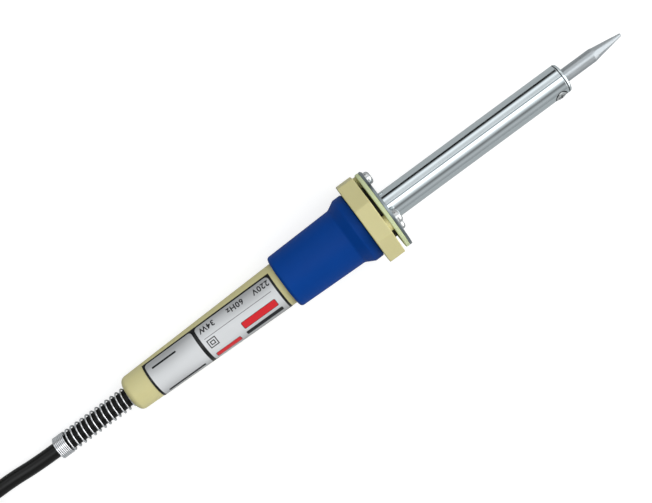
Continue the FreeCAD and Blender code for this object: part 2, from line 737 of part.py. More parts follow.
def wiring():
    """Element leads in their sleeving, crimped and capped onto the cord's two cores."""
    insulator_rear = FORMER_REAR + " - dim.insulator_length"
    paired("lead_wires", "-dim.lead_tail", "dim.heater_start - dim.heater_wire_radius", None,
           "dim.lead_radius")
    sleeving = "dim.lead_radius + dim.sleeving_gap"
    paired("lead_sleeving", "-dim.sleeving_tail", insulator_rear, sleeving,
           sleeving + " + dim.sleeving_wall")
    crimp_outer = "dim.crimp_bore + dim.crimp_wall"
    crimp_front = "-dim.crimp_rear + dim.crimp_length"
    paired("crimp_connectors", "-dim.crimp_rear", crimp_front, "dim.crimp_bore", crimp_outer)
    cap_inner = crimp_outer + " + dim.slip_fit"
    paired("splice_caps", "-dim.crimp_rear - dim.cap_overhang", crimp_front, cap_inner,
           cap_inner + " + dim.cap_wall")
    for name, side in (("core_brown", 1), ("core_blue", -1)):
        wide, narrow = side * lead_offset, side * size("core_offset")
        rear = -size("jacket_tail")
        front = -size("crimp_rear")
        core, _, _ = tube_along([
            Vector(rear, narrow, 0), Vector(-size("core_bend_rear"), narrow, 0),
            Vector(-size("core_bend_front"), wide, 0), Vector(front, wide, 0)],
            size("core_radius"))
        strands = Part.makeCylinder(size("strand_radius"), size("strand_length"),
                                    Vector(front, wide, 0), ALONG)
        feature_of(name, core.fuse(strands), on_iron())


# ---------------------------------------------------------------- cord, hank and plug
# route points on the bench, in the order the cord runs from the spring's tail
LEAD_ROUTE = [Vector(-120.03, 0, 4.06), Vector(-129, 0, 3.29), Vector(-139, 1.0, 3.35),
              Vector(-149.5, 1.0, 3.35)]
TAIL_ROUTE = [Vector(-268.3, 8.0, 24.95), Vector(-275.8, 8.0, 24.95), Vector(-283.3, 6.42, 22.17),
              Vector(-295.0, -0.62, 9.78), Vector(-302.5, -2.2, 7.0), Vector(-310, -2.2, 7.0)]


def cord_run(name, points):
    tube, length, radii = tube_along(points, size("cord_radius"))
    print(f"{name}: {length:.1f} mm, radii", ", ".join(f"{radius:.0f}" for radius in radii))
    feature_of(name, tube, FreeCAD.Placement())
    return points[-1]


def hank_and_tie(near):
    """Closed outline of the folded cord, waisted where the flat tie pulls it together."""
    body = new_body("cord_hank")
    length = "dim.hank_length"
    body_height = "dim.cord_radius * 2 * dim.hank_layers"
    inner_edge = "(dim.hank_width - dim.cord_radius)"
    waist = "dim.cord_radius * 2.1"
    middle = "(dim.cord_radius - dim.hank_width / 2)"
    tie_half = "(dim.tie_width / 2 + 1)"
    sketch = new_sketch(body, "XY_Plane")
    add_outline(sketch, [
        (f"-{length}", "dim.cord_radius"), (f"-{length}", f"-{inner_edge}"),
        (f"-{length} * 0.8", f"-{inner_edge}"),
        (f"-{length} / 2 - {tie_half}", f"{middle} - {waist}"),
        (f"-{length} / 2 + {tie_half}", f"{middle} - {waist}"),
        (f"-{length} * 0.2", f"-{inner_edge}"),
        ("0", f"-{inner_edge}"), ("0", "dim.cord_radius"),
        (f"-{length} * 0.2", "dim.cord_radius"),
        (f"-{length} / 2 + {tie_half}", f"{middle} + {waist}"),
        (f"-{length} / 2 - {tie_half}", f"{middle} + {waist}"),
        (f"-{length} * 0.8", "dim.cord_radius"),
    ])
    pad(body, sketch, body_height)
    doc.recompute()
    base = body.Tip
    far = base.Shape.BoundBox
    upright = [f"Edge{number}" for number, edge in enumerate(base.Shape.Edges, 1)
               if edge.BoundBox.ZLength > 1 and edge.BoundBox.YMax < far.YMin + 0.01
               and (edge.BoundBox.XMax < far.XMin + 0.01 or edge.BoundBox.XMin > far.XMax - 0.01)]
    corners = body.newObject("PartDesign::Fillet", "corners")
    corners.Base = (base, upright)
    corners.setExpression("Radius", "dim.hank_corner")
    floor_gap = size("tie_thickness") + size("tie_gap") / 2
    seat = FreeCAD.Placement(Vector(near.x, near.y + size("hank_aside"), floor_gap),
                             FreeCAD.Rotation())
    keep(body, "cord_hank", seat)

    tie = new_body("hank_tie")
    inner_half, inner_height = f"{waist} + dim.tie_gap", f"{body_height} + dim.tie_gap"
    band = new_sketch(tie, "YZ_Plane", f"-{length} / 2")
    for grow in ("", " + dim.tie_thickness"):
        low = "-dim.tie_gap / 2" + ("" if not grow else " - dim.tie_thickness")
        high = f"{inner_height} - dim.tie_gap / 2{grow}"
        add_outline(band, box_corners(f"{middle} - ({inner_half}{grow})",
                                      f"{middle} + {inner_half}{grow}", low, high))
    pad(tie, band, "dim.tie_width", midplane=True)
    keep(tie, "hank_tie", seat)


def plug(entry):
    """Two-pin plug lying flat behind the hank: tapered relief, six-sided body, round pins."""
    seat = FreeCAD.Placement(entry, FreeCAD.Rotation())
    relief = new_body("plug_strain_relief")
    revolve(relief, [
        ("0", "0"), ("-dim.relief_length", "0"),
        ("-dim.relief_length", "dim.relief_rear_radius"), ("0", "dim.relief_end_radius"),
    ])
    keep(relief, "plug_strain_relief", seat)

    body = new_body("plug_body")
    half, flat = "dim.plug_width / 2", "dim.plug_width / 2 - dim.plug_height / 2"
    sketch = new_sketch(body, "YZ_Plane", "-dim.relief_length")
    add_outline(sketch, [
        (half, "0"), (flat, "dim.plug_height / 2"), (f"-({flat})", "dim.plug_height / 2"),
        (f"-({half})", "0"), (f"-({flat})", "-dim.plug_height / 2"),
        (flat, "-dim.plug_height / 2"),
    ])
    pad(body, sketch, "dim.plug_depth", backwards=True)
    shoulder = new_sketch(body, "XY_Plane")
    for side in ("", "-"):
        add_outline(shoulder, [
            ("1 - dim.relief_length", f"{side}dim.plug_shoulder"),
            ("-dim.relief_length", f"{side}dim.plug_shoulder"),
            ("-dim.relief_length - dim.plug_depth * 0.4", f"{side}({half} + 1)"),
            ("1 - dim.relief_length", f"{side}({half} + 1)"),
        ])
    pocket(body, shoulder)
    holes = new_sketch(body, "YZ_Plane", "-dim.relief_length - dim.plug_depth")
    for side in ("", "-"):
        add_circle(holes, f"{side}dim.pin_spacing / 2", "0", "dim.pin_root")
    pocket(body, holes, "dim.pin_seat", forwards=True)
    round_rim(body, -size("relief_length") - size("plug_depth"), size("plug_height") / 2 - 0.1,
              "dim.plug_round")
    keep(body, "plug_body", seat)

    pins = new_body("plug_pins")
    for radius, length, way in (("dim.pin_radius", "dim.pin_length", {"backwards": True}),
                                ("dim.pin_root", "dim.pin_seat", {})):
        sketch = new_sketch(pins, "YZ_Plane", "-dim.relief_length - dim.plug_depth")
        for side in ("", "-"):
            add_circle(sketch, f"{side}dim.pin_spacing / 2", "0", radius)
        pad(pins, sketch, length, **way)
    end = -size("relief_length") - size("plug_depth") - size("pin_length")
    round_rim(pins, end, 0, "dim.pin_round")
    keep(pins, "plug_pins", seat)


# ---------------------------------------------------------------- assembly and export
soldering_tip()
barrel_tube()
tip_bush()
tip_screw()
handle_body()
shield_stack()
shield_screws()
grip_sleeve()
rating_label()
strain_relief_spring()
cord_outlet()
heater()
wiring()
hank_and_tie(cord_run("mains_cord", LEAD_ROUTE))
plug(cord_run("cord_tail", TAIL_ROUTE))
doc.recompute()


def check_model():
    """Stop at a failed object, an empty or invalid shape, or a cut that removed nothing."""
    for item in doc.Objects:
        assert not {"Invalid", "Error"} & set(item.State), f"{item.Label}: {item.State}"
        if item.TypeId == "PartDesign::Pocket":
            removed = item.BaseFeature.Shape.Volume - item.Shape.Volume
            assert removed > 0.001, f"{item.Label} cuts nothing"
    for name, piece in PIECES.items():
        assert not piece.Shape.isNull() and piece.Shape.isValid(), name


check_model()
os.makedirs("parts", exist_ok=True)
for name, piece in PIECES.items():
    piece.Shape.exportStep(f"parts/{name}.step")
    print(f"{name}: {len(piece.Shape.Solids)} solid(s), {piece.Shape.Volume:.1f} mm3")
print(f"nose-up tilt {math.degrees(TILT):.3f} degrees, lift {LIFT:.3f}, shift {SHIFT:.3f} mm")
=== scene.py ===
"""Looks for a pencil-shaped mains soldering iron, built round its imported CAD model.

Lengths are given in millimetres and kept in metres. Places along the iron are measured from
the guard's front face towards the bit. A roll is an angle round the iron's axis, from its top
towards its right-hand side. In each piece's operator, s is that piece's own group of sizes.
"""

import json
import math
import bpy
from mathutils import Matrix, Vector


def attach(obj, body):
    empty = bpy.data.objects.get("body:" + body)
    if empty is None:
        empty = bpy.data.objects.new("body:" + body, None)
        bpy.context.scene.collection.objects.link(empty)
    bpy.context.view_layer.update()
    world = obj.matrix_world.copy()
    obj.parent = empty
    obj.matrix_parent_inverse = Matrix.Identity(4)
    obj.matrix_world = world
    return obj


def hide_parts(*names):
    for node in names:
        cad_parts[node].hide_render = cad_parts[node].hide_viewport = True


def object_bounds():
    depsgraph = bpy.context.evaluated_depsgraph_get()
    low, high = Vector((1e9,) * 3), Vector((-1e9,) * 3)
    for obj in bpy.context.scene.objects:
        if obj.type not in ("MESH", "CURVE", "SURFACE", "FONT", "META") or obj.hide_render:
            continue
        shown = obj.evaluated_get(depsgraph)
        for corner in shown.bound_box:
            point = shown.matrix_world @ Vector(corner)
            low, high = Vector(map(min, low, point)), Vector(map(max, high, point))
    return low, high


bl_info = {
    "name": "Soldering Iron Looks",
    "version": (1, 0, 0),
    "blender": (4, 5, 0),
    "location": "3D View > Sidebar > Soldering Iron",
    "description": "Surfaces, finishes, cord and stage for a mains soldering iron",
    "category": "Object",
}

import bmesh
import bpy
import numpy as np
from bpy.props import FloatProperty, FloatVectorProperty, PointerProperty, StringProperty
from mathutils import Matrix

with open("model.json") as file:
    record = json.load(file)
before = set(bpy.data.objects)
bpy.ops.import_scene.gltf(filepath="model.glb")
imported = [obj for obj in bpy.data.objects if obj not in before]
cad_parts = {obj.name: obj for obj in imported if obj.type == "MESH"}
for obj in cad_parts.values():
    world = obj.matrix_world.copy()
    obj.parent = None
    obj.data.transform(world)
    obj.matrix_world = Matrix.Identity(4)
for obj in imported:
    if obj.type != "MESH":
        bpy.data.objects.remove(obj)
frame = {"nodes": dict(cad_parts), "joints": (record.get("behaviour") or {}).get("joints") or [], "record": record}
CAD_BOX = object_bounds()
NODES = frame["nodes"]

# ------------------------------------------------------------------ the iron's own directions
AXIS = np.array(next(j for j in frame["joints"] if j["name"] == "bit_slide")["axis"], float)
AXIS /= np.linalg.norm(AXIS)
SIDE = np.array([0.0, 1.0, 0.0])
TOP = np.cross(AXIS, SIDE)
BIT_POINT = next(m for m in frame["record"]["mounts"] if m["name"] == "bit_point")["pos_m"]
MM = 0.001
POINT_REACH = 103.4  # mm from the guard's front face to the bit's point
GUARD_FACE = np.array(BIT_POINT, float) - POINT_REACH * MM * AXIS


def on_iron(along, side, up):
    """Row-frame points: guard face + along x axis + side x side direction + up x top."""
    along, side, up = np.broadcast_arrays(along, side, up)
    return (GUARD_FACE + along[..., None] * AXIS + side[..., None] * SIDE + up[..., None] * TOP)


def rolled(along, radius, roll):
    """Row-frame points on a circle about the axis: side = -r sin(roll), up = r cos(roll)."""
    return on_iron(along, -radius * np.sin(roll), radius * np.cos(roll))


# ------------------------------------------------------------------ sizes and colours to change
def a_length(title, millimetres, about):
    """A length property, given in millimetres and kept in metres."""
    return FloatProperty(name=title, description=about, default=millimetres * MM, min=0.0,
                         unit="LENGTH", precision=5)


def an_angle(title, degrees, about):
    """An angle property, given in degrees and kept in radians."""
    return FloatProperty(name=title, description=about, default=math.radians(degrees),
                         subtype="ANGLE", unit="ROTATION")


def a_number(title, value, about, most=100.0):
    """A plain number property, from 0 to the most that it may be."""
    return FloatProperty(name=title, description=about, default=value, min=0.0, max=most)


def a_colour(title, red, green, blue, about):
    """A colour property, given as the 0 to 255 values that a screen shows."""
    linear = [((c / 255 + 0.055) / 1.055) ** 2.4 if c > 10 else c / 255 / 12.92
              for c in (red, green, blue)]
    return FloatVectorProperty(name=title, description=about, default=linear, size=3,
                               min=0.0, max=1.0, subtype="COLOR")


class BitSizes(bpy.types.PropertyGroup):
    length: a_length("Bit length", 80.0, "Whole length of the bit, from its rear end to its point")
    reach: a_length("Point", POINT_REACH, "Distance of the point from the guard's front face")
    radius: a_length("Shaft radius", 2.5, "Radius of the bit's round shaft")
    neck: a_length("Neck radius", 2.25, "Radius where the eight flats begin")
    cone: a_length("Ground length", 10.5, "Length of the eight ground flats")
    shoulder: a_length("Shoulder", 1.6, "Length of the short cone from shaft to neck")
    flat_reach: a_length("Flat reach", 2.12, "Distance of each flat from the axis at the neck")
    flat_end: a_length("Flat end", 0.42, "Distance of each flat from the axis 1 mm past the point")
    end_radius: a_length("End radius", 0.5, "Radius of the blunt point")
    end_round: a_length("End round", 0.35, "Rounding of the blunt point's edge")
    shine: a_number("Roughness", 0.36, "Roughness of the plated bit", 1.0)
    plating: a_colour("Plating", 184, 189, 192, "Colour of the bit's plating")


class BarrelSizes(bpy.types.PropertyGroup):
    radius: a_length("Barrel radius", 5.5, "Outside radius of the barrel")
    wall: a_length("Wall", 0.5, "Thickness of the barrel's wall")
    rear: a_length("Rear", 2.7, "Where the barrel's wall leaves its foot")
    front: a_length("Front", 77.7, "Where the barrel ends and the bush's lip begins")
    foot_radius: a_length("Foot radius", 8.0, "Radius of the foot held under the shield")
    foot: a_length("Foot thickness", 0.5, "Thickness of the foot")
    lip: a_length("Bush lip", 1.3, "How far the bush stands out of the barrel")
    lip_round: a_length("Lip round", 0.9, "Rounding of the bush's front edge")
    groove: a_length("Groove", 0.2, "Gap between the barrel's end and the bush's lip")
    bush: a_length("Bush length", 7.7, "Length of the bush inside the barrel")
    bore: a_length("Bush bore", 2.55, "Radius of the bush's bore, in which the bit slides")
    hole: a_length("Screw hole radius", 2.4, "Radius of the hole round the bit screw's head")
    hole_place: a_length("Screw place", 74.4, "Distance of the bit screw from the guard")
    hole_roll: an_angle("Screw roll", 63.0, "Roll of the bit screw")
    steel: a_colour("Barrel steel", 219, 227, 230, "Colour of the bright barrel")
    seam_roll: an_angle("Seam roll", -19.0, "Roll of the barrel's rolled seam")


class ScrewSizes(bpy.types.PropertyGroup):
    flat_washer: a_length("Flat washer", 2.9, "Outside radius of the flat washers")
    washer_hole: a_length("Washer hole", 1.4, "Radius of the flat washers' holes")
    washer_thick: a_length("Washer thickness", 0.4, "Thickness of the flat washers")
    boss_hole: a_length("Boss hole", 1.3, "Radius of the screw holes in the handle's bosses")
    circle: a_length("Screw circle", 12.0, "Radius of the circle that the three screws stand on")
    roll: an_angle("Screw roll", 16.7, "Roll of the first of the three screws")
    plating: a_colour("Screw plating", 214, 216, 216, "Colour of the plated screws")


class ShieldSizes(bpy.types.PropertyGroup):
    radius: a_length("Shield radius", 15.3, "Radius of the washer and the steel shield")
    gap: a_length("Boss height", 1.2, "Gap between the guard and the washer")
    washer: a_length("Washer", 1.5, "Thickness of the insulating washer")
    plate: a_length("Plate", 1.0, "Thickness of the steel plate")
    rim: a_length("Washer round", 0.35, "Rounding of the washer's rim")
    hub: a_length("Hub radius", 10.2, "Radius of the dark hub spacer")
    bore: a_length("Bore", 5.7, "Radius of the hole through spacer and washer")
    plate_bore: a_length("Plate bore", 5.6, "Radius of the hole through the steel plate")
    recess: a_length("Recess radius", 8.1, "Radius of the washer's recess for the barrel's foot")
    recess_depth: a_length("Recess depth", 0.5, "Depth of the recess for the barrel's foot")
    steel: a_colour("Shield steel", 136, 144, 147, "Colour of the shield plate")
    ivory: a_colour("Washer", 210, 220, 176, "Colour of the insulating washer")


class HandleSizes(bpy.types.PropertyGroup):
    flats: a_length("Guard flats", 30.9, "Guard's width across opposite flats")
    guard: a_length("Guard thickness", 6.4, "Thickness of the octagonal guard")
    guard_round: a_length("Guard round", 0.35, "Rounding of the guard's rims")
    corner: a_length("Guard corner", 1.1, "Radius of the guard's eight long corners")
    length: a_length("Handle length", 106.3, "From the guard's front face to the handle's rear")
    rear: a_length("Rear radius", 6.66, "Radius at the handle's rear")
    front: a_length("Front radius", 9.02, "Radius where the handle meets the guard")
    rear_round: a_length("Rear round", 2.2, "Rounding of the handle's rear edge")
    outlet: a_length("Outlet radius", 4.2, "Radius of the spring's seat in the rear face")
    seat: a_length("Spring seat", 8.0, "Depth of the spring's seat in the rear face")
    passage: a_length("Passage radius", 2.85, "Radius of the cord's passage behind the seat")
    stop: a_length("Passage length", 4.0, "Length of the cord's passage behind the seat")
    hollow: a_length("Hollow radius", 5.5, "Radius of the wiring's room inside the handle")
    mouth: a_length("Mouth radius", 7.2, "Radius of the hollow's mouth in the guard")
    mouth_depth: a_length("Mouth depth", 14.0, "Depth of the wide mouth from the guard's face")
    boss: a_length("Boss radius", 3.0, "Radius of the three screw bosses")
    cream: a_colour("Handle cream", 215, 207, 154, "Colour of the moulded handle")


class GripSizes(bpy.types.PropertyGroup):
    rear: a_length("Rear end", 40.2, "Distance of the grip's rear end behind the guard's face")
    rear_radius: a_length("Rear radius", 10.3, "Radius at the grip's rear end")
    waist: a_length("Waist", 13.4, "Distance of the waist behind the guard's face")
    waist_radius: a_length("Waist radius", 10.96, "Radius at the waist")
    flare: a_length("Flare", 3.4, "Length of the flare in front of the waist")
    front_radius: a_length("Front radius", 12.8, "Radius of the collar behind the guard")
    blue: a_colour("Grip blue", 0, 63, 146, "Colour of the soft grip")


class LabelSizes(bpy.types.PropertyGroup):
    rear: a_length("Rear edge", 96.5, "Distance of the label's rear edge behind the guard's face")
    length: a_length("Length", 54.1, "Length along the handle")
    width: a_length("Width", 18.1, "Width round the handle")
    thickness: a_length("Thickness", 0.12, "Thickness of the label")
    gap: a_length("Glue", 0.02, "Gap that the glue fills under the label")
    roll: an_angle("Roll", 13.2, "Roll of the label's middle line")
    ratings: StringProperty(name="Ratings", default="220V 60Hz 34W",
                            description="Voltage, frequency and power, in that order")
    silver: a_colour("Label silver", 226, 227, 228, "Lightest colour of the brushed label")
    red: a_colour("Bar red", 222, 36, 44, "Colour of the plain red bars")


class SpringSizes(bpy.types.PropertyGroup):
    end: a_length("Free end", 137.9, "Distance of the spring's free end behind the guard's face")
    wire: a_length("Wire radius", 0.3, "Radius of the spring's wire")
    coil: a_length("Coil radius", 3.8, "Radius of the coil's centre line")
    pitch: a_length("Open pitch", 2.15, "Distance from turn to turn where the coil is open")
    close: a_length("Close pitch", 0.62, "Distance from turn to turn where the coil is close-wound")
    tail_turns: a_number("Tail turns", 7.0, "Close turns at the free end")
    seated_turns: a_number("Seated turns", 1.5, "Close turns in the handle")
    steel: a_colour("Spring steel", 235, 236, 238, "Colour of the bright spring wire")


class CordSizes(bpy.types.PropertyGroup):
    diameter: a_length("Diameter", 5.4, "Diameter of the cord")
    near: a_length("Near fold", 168.4, "Distance of the near folds' centres behind the origin")
    aside: a_length("Aside", 8.2, "How far the hank's middle line is to the right of the iron's")
    lowest: a_length("Lowest", 3.35, "Height of the lowest turn's middle")
    fold: a_length("Fold", 16.2, "Radius of the folds at the hank's ends")
    run: a_length("Run", 81.0, "Length of the hank between its folds' centres")
    waist: a_length("Waist", 2.8, "Distance of the strands from the hank's middle at the tie")
    black: a_colour("Cord black", 14, 14, 13, "Colour of the cord, sleeve and plug")


class StageSizes(bpy.types.PropertyGroup):
    focal: FloatProperty(name="Focal length", description="Focal length on a 36 mm sensor",
                         default=74.2, min=10.0, unit="CAMERA")
    distance: a_length("Camera distance", 464.0, "From the camera to the point it looks at")
    aim: a_length("Aim", 22.1, "Distance behind the guard's face that the camera looks at")
    turn: an_angle("Axis in view", 36.4, "Slope of the iron in the view")
    lean_side: an_angle("Lean to the side", 5.8, "Camera's lean over the left side")
    lean_front: an_angle("Lean to the front", 1.5, "Camera's lean to the bit")
    light: a_number("Light", 1.0, "Strength of the whole soft light")
    side_fill: a_number("Side fill", 2.4, "Extra light from the right-hand side in front")
    rear_shade: a_number("Rear shade", 0.2, "Share of the light from the handle's end", 1.0)


SIZE_GROUPS = {"bit": BitSizes, "barrel": BarrelSizes, "screws": ScrewSizes,
               "shield": ShieldSizes, "handle": HandleSizes, "grip": GripSizes,
               "label": LabelSizes, "spring": SpringSizes, "cord": CordSizes,
               "stage": StageSizes}


class IronSizes(bpy.types.PropertyGroup):
    """All the groups of sizes and colours, one pointer each."""
    __annotations__ = {name: PointerProperty(type=kind) for name, kind in SIZE_GROUPS.items()}


def sizes(name):
    """One group of sizes and colours, as it stands in the scene."""
    return getattr(bpy.context.scene.iron_sizes, name)


# ------------------------------------------------------------------ surfaces
def shell(points, closed=False, start_pole=False, end_pole=False):
    """Vertices and faces of a grid of rings, (rows, columns, 3).

    Neighbouring rings are joined by quads, and each ring's last column to its first.
    closed joins the last ring to the first as well. A pole closes an end ring with a fan
    to the ring's middle. Signed volume is the sum of a . (b x c) / 6 over the triangles;
    where it is negative the faces are turned over, so they point outwards.
    """
    rows, columns = points.shape[:2]
    index = np.arange(rows * columns).reshape(rows, columns)
    ahead = np.roll(index, -1, axis=1)
    if closed:
        low, low_ahead = index, ahead
        high, high_ahead = np.roll(index, -1, axis=0), np.roll(ahead, -1, axis=0)
    else:
        low, low_ahead, high, high_ahead = index[:-1], ahead[:-1], index[1:], ahead[1:]
    quads = np.stack([low, low_ahead, high_ahead, high], -1).reshape(-1, 4)
    vertices = points.reshape(-1, 3)
    fans = np.zeros((0, 3), int)
    for wanted, ring, flip in ((start_pole, index[0], False), (end_pole, index[-1], True)):
        if wanted:
            hub = np.full(columns, len(vertices))
            vertices = np.vstack([vertices, vertices[ring].mean(0)])
            following = np.roll(ring, -1)
            fan = [hub, ring, following] if flip else [hub, following, ring]
            fans = np.vstack([fans, np.stack(fan, -1)])
    if flip_needed(vertices, quads, fans):
        quads, fans = quads[:, ::-1], fans[:, ::-1]
    return vertices, quads, fans


def flip_needed(vertices, quads, fans):
    """True where the signed volume of the closed mesh comes out negative."""
    triangles = np.vstack([quads[:, :3], quads[:, [0, 2, 3]], fans])
    middle = vertices.mean(0)
    a, b, c = (vertices[triangles[:, k]] - middle for k in range(3))
    return float(np.einsum("ij,ij->", a, np.cross(b, c))) < 0


def arrays_of(mesh, corners):
    """Vertices and faces of a mesh whose faces all have the same number of corners."""
    vertices, faces = np.zeros(len(mesh.vertices) * 3), np.zeros(len(mesh.loops), int)
    mesh.vertices.foreach_get("co", vertices)
    mesh.loops.foreach_get("vertex_index", faces)
    return vertices.reshape(-1, 3), faces.reshape(-1, corners)


def new_piece(name, shells, body, replaces=(), sharp=32.0):
    """One object from several closed shells, smooth but for edges sharper than the angle."""
    vertices, faces, base = [], [], 0
    for points, quads, fans in shells:
        vertices.append(points)
        faces += (quads + base).tolist() + (fans + base).tolist()
        base += len(points)
    mesh = bpy.data.meshes.new(name)
    mesh.from_pydata(np.vstack(vertices).tolist(), [], faces)
    mesh.polygons.foreach_set("use_smooth", np.ones(len(faces), bool))
    mesh.set_sharp_from_angle(angle=math.radians(sharp))
    mesh.update()
    piece = bpy.data.objects.new(name, mesh)
    bpy.context.scene.collection.objects.link(piece)
    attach(piece, body)
    if replaces:
        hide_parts(*replaces)
    return piece


def rounded(corners, closed=True, steps=6):
    """Outline with its corners rounded.

    Each corner is (x, y, radius). Its arc touches both edges at radius / tan(half angle)
    from the corner, and one more point stands just outside each end of the arc, so that
    the flat beside it stays flat in the light.
    """
    points = [np.array(corner[:2], float) for corner in corners]
    outline = []
    for number, (corner, given) in enumerate(zip(points, corners)):
        radius = given[2] if len(given) > 2 else 0.0
        if radius <= 0 or (not closed and number in (0, len(points) - 1)):
            outline.append(corner[None])
            continue
        back, on = points[number - 1] - corner, points[(number + 1) % len(points)] - corner
        back_room, on_room = np.linalg.norm(back), np.linalg.norm(on)
        back, on = back / back_room, on / on_room
        half = math.acos(np.clip(back @ on, -1, 1)) / 2
        reach = radius / math.tan(half)
        centre = corner + (back + on) / np.linalg.norm(back + on) * radius / math.sin(half)
        first, last = corner + back * reach - centre, corner + on * reach - centre
        share = np.linspace(0, 1, steps + 1)[:, None]
        swing = math.pi - 2 * half
        arc = (np.sin((1 - share) * swing) * first + np.sin(share * swing) * last) / math.sin(swing)
        guard = min(0.3 * radius, 0.2 * MM)
        outline += [(corner + back * (reach + guard))[None], centre + arc,
                    (corner + on * (reach + guard))[None]]
    return np.vstack(outline)


def turned(outline, columns=96, centre=(0.0, 0.0)):
    """Closed outline turned about a line along the axis.

    Each (along, radius) point becomes a circle about centre, which is (side, up).
    """
    roll = np.linspace(0, 2 * math.pi, columns, endpoint=False)
    along, radius = outline[:, :1], outline[:, 1:]
    points = on_iron(along + 0 * roll, centre[0] - radius * np.sin(roll),
                     centre[1] + radius * np.cos(roll))
    return shell(points, closed=True)


def swept(path, sides, ups, radius, columns):
    """Round tube: path + r cos(a) x side + r sin(a) x up, closed by a dome at each end."""
    angle = np.linspace(0, 2 * math.pi, columns, endpoint=False)
    ring = (np.cos(angle)[:, None] * sides[:, None] + np.sin(angle)[:, None] * ups[:, None])
    points = path[:, None] + radius * ring
    ahead = np.gradient(path, axis=0)
    ahead /= np.linalg.norm(ahead, axis=1)[:, None]
    caps = []
    for end, way in ((0, -1.0), (-1, 1.0)):
        swell = np.array([0.45, 0.8]) * math.pi / 2
        rows = (path[end] + way * ahead[end] * radius * np.sin(swell)[:, None, None]
                + radius * np.cos(swell)[:, None, None] * ring[end])
        caps.append(rows[::-1] if end == 0 else rows)
    return shell(np.concatenate([caps[0], points, caps[1]]), False, True, True)


def handle_radius(handle, back):
    """Radius of the tapered handle at a distance behind the guard's front face."""
    taper = (handle.front - handle.rear) / (handle.length - handle.guard)
    return handle.rear + (handle.length - back) * taper


def screw_places(screws):
    """Places (side, up) of the three shield screws, a third of a turn apart."""
    rolls = screws.roll + np.arange(3) * 2 * math.pi / 3
    return [(-screws.circle * math.sin(roll), screws.circle * math.cos(roll)) for roll in rolls]


# ------------------------------------------------------------------ node groups and finishes
def new_group(name, inputs, outputs):
    """Empty shader node group with named sockets; inputs are (name, kind, default)."""
    group = bpy.data.node_groups.new(name, "ShaderNodeTree")
    for title, kind, value in inputs:
        socket = group.interface.new_socket(name=title, in_out="INPUT", socket_type=kind)
        if value is not None:
            socket.default_value = value
    for title, kind in outputs:
        group.interface.new_socket(name=title, in_out="OUTPUT", socket_type=kind)
    return group, group.nodes.new("NodeGroupInput"), group.nodes.new("NodeGroupOutput")


def wire(tree, source, target):
    """Joins a socket to a socket, or sets a plain value on it."""
    if isinstance(source, bpy.types.NodeSocket):
        tree.links.new(source, target)
    elif source is not None:
        target.default_value = source


def calc(tree, operation, a, b=None, c=None, clamp=False):
    """Math node on sockets or numbers."""
    node = tree.nodes.new("ShaderNodeMath")
    node.operation, node.use_clamp = operation, clamp
    for value, socket in zip((a, b, c), node.inputs):
        wire(tree, value, socket)
    return node.outputs[0]


def blend(tree, factor, a, b):
    """Colour mix: a where the factor is 0, b where it is 1."""
    node = tree.nodes.new("ShaderNodeMix")
    node.data_type = "RGBA"
    wire(tree, factor, node.inputs[0])
    for value, socket in ((a, node.inputs[6]), (b, node.inputs[7])):
        wire(tree, (*value, 1.0) if isinstance(value, tuple) and len(value) == 3 else value, socket)
    return node.outputs[2]


def between(tree, value, low, high, to_low=0.0, to_high=1.0):
    """Smooth step of a value from one range to another."""
    node = tree.nodes.new("ShaderNodeMapRange")
    node.interpolation_type = "SMOOTHSTEP"
    for source, socket in zip((value, low, high, to_low, to_high), node.inputs):
        wire(tree, source, socket)
    return node.outputs[0]


def vector_calc(tree, operation, a, b):
    """Vector Math node on sockets or plain vectors."""
    node = tree.nodes.new("ShaderNodeVectorMath")
    node.operation = operation
    wire(tree, a, node.inputs[0])
    wire(tree, b, node.inputs[1])
    return node.outputs["Value" if operation == "DOT_PRODUCT" else "Vector"]


def noise(tree, vector, scale, detail, roughness):
    """Noise texture's value, from 0 to 1."""
    node = tree.nodes.new("ShaderNodeTexNoise")
    wire(tree, vector, node.inputs["Vector"])
    for title, value in (("Scale", scale), ("Detail", detail), ("Roughness", roughness)):
        wire(tree, value, node.inputs[title])
    return node.outputs["Fac"]


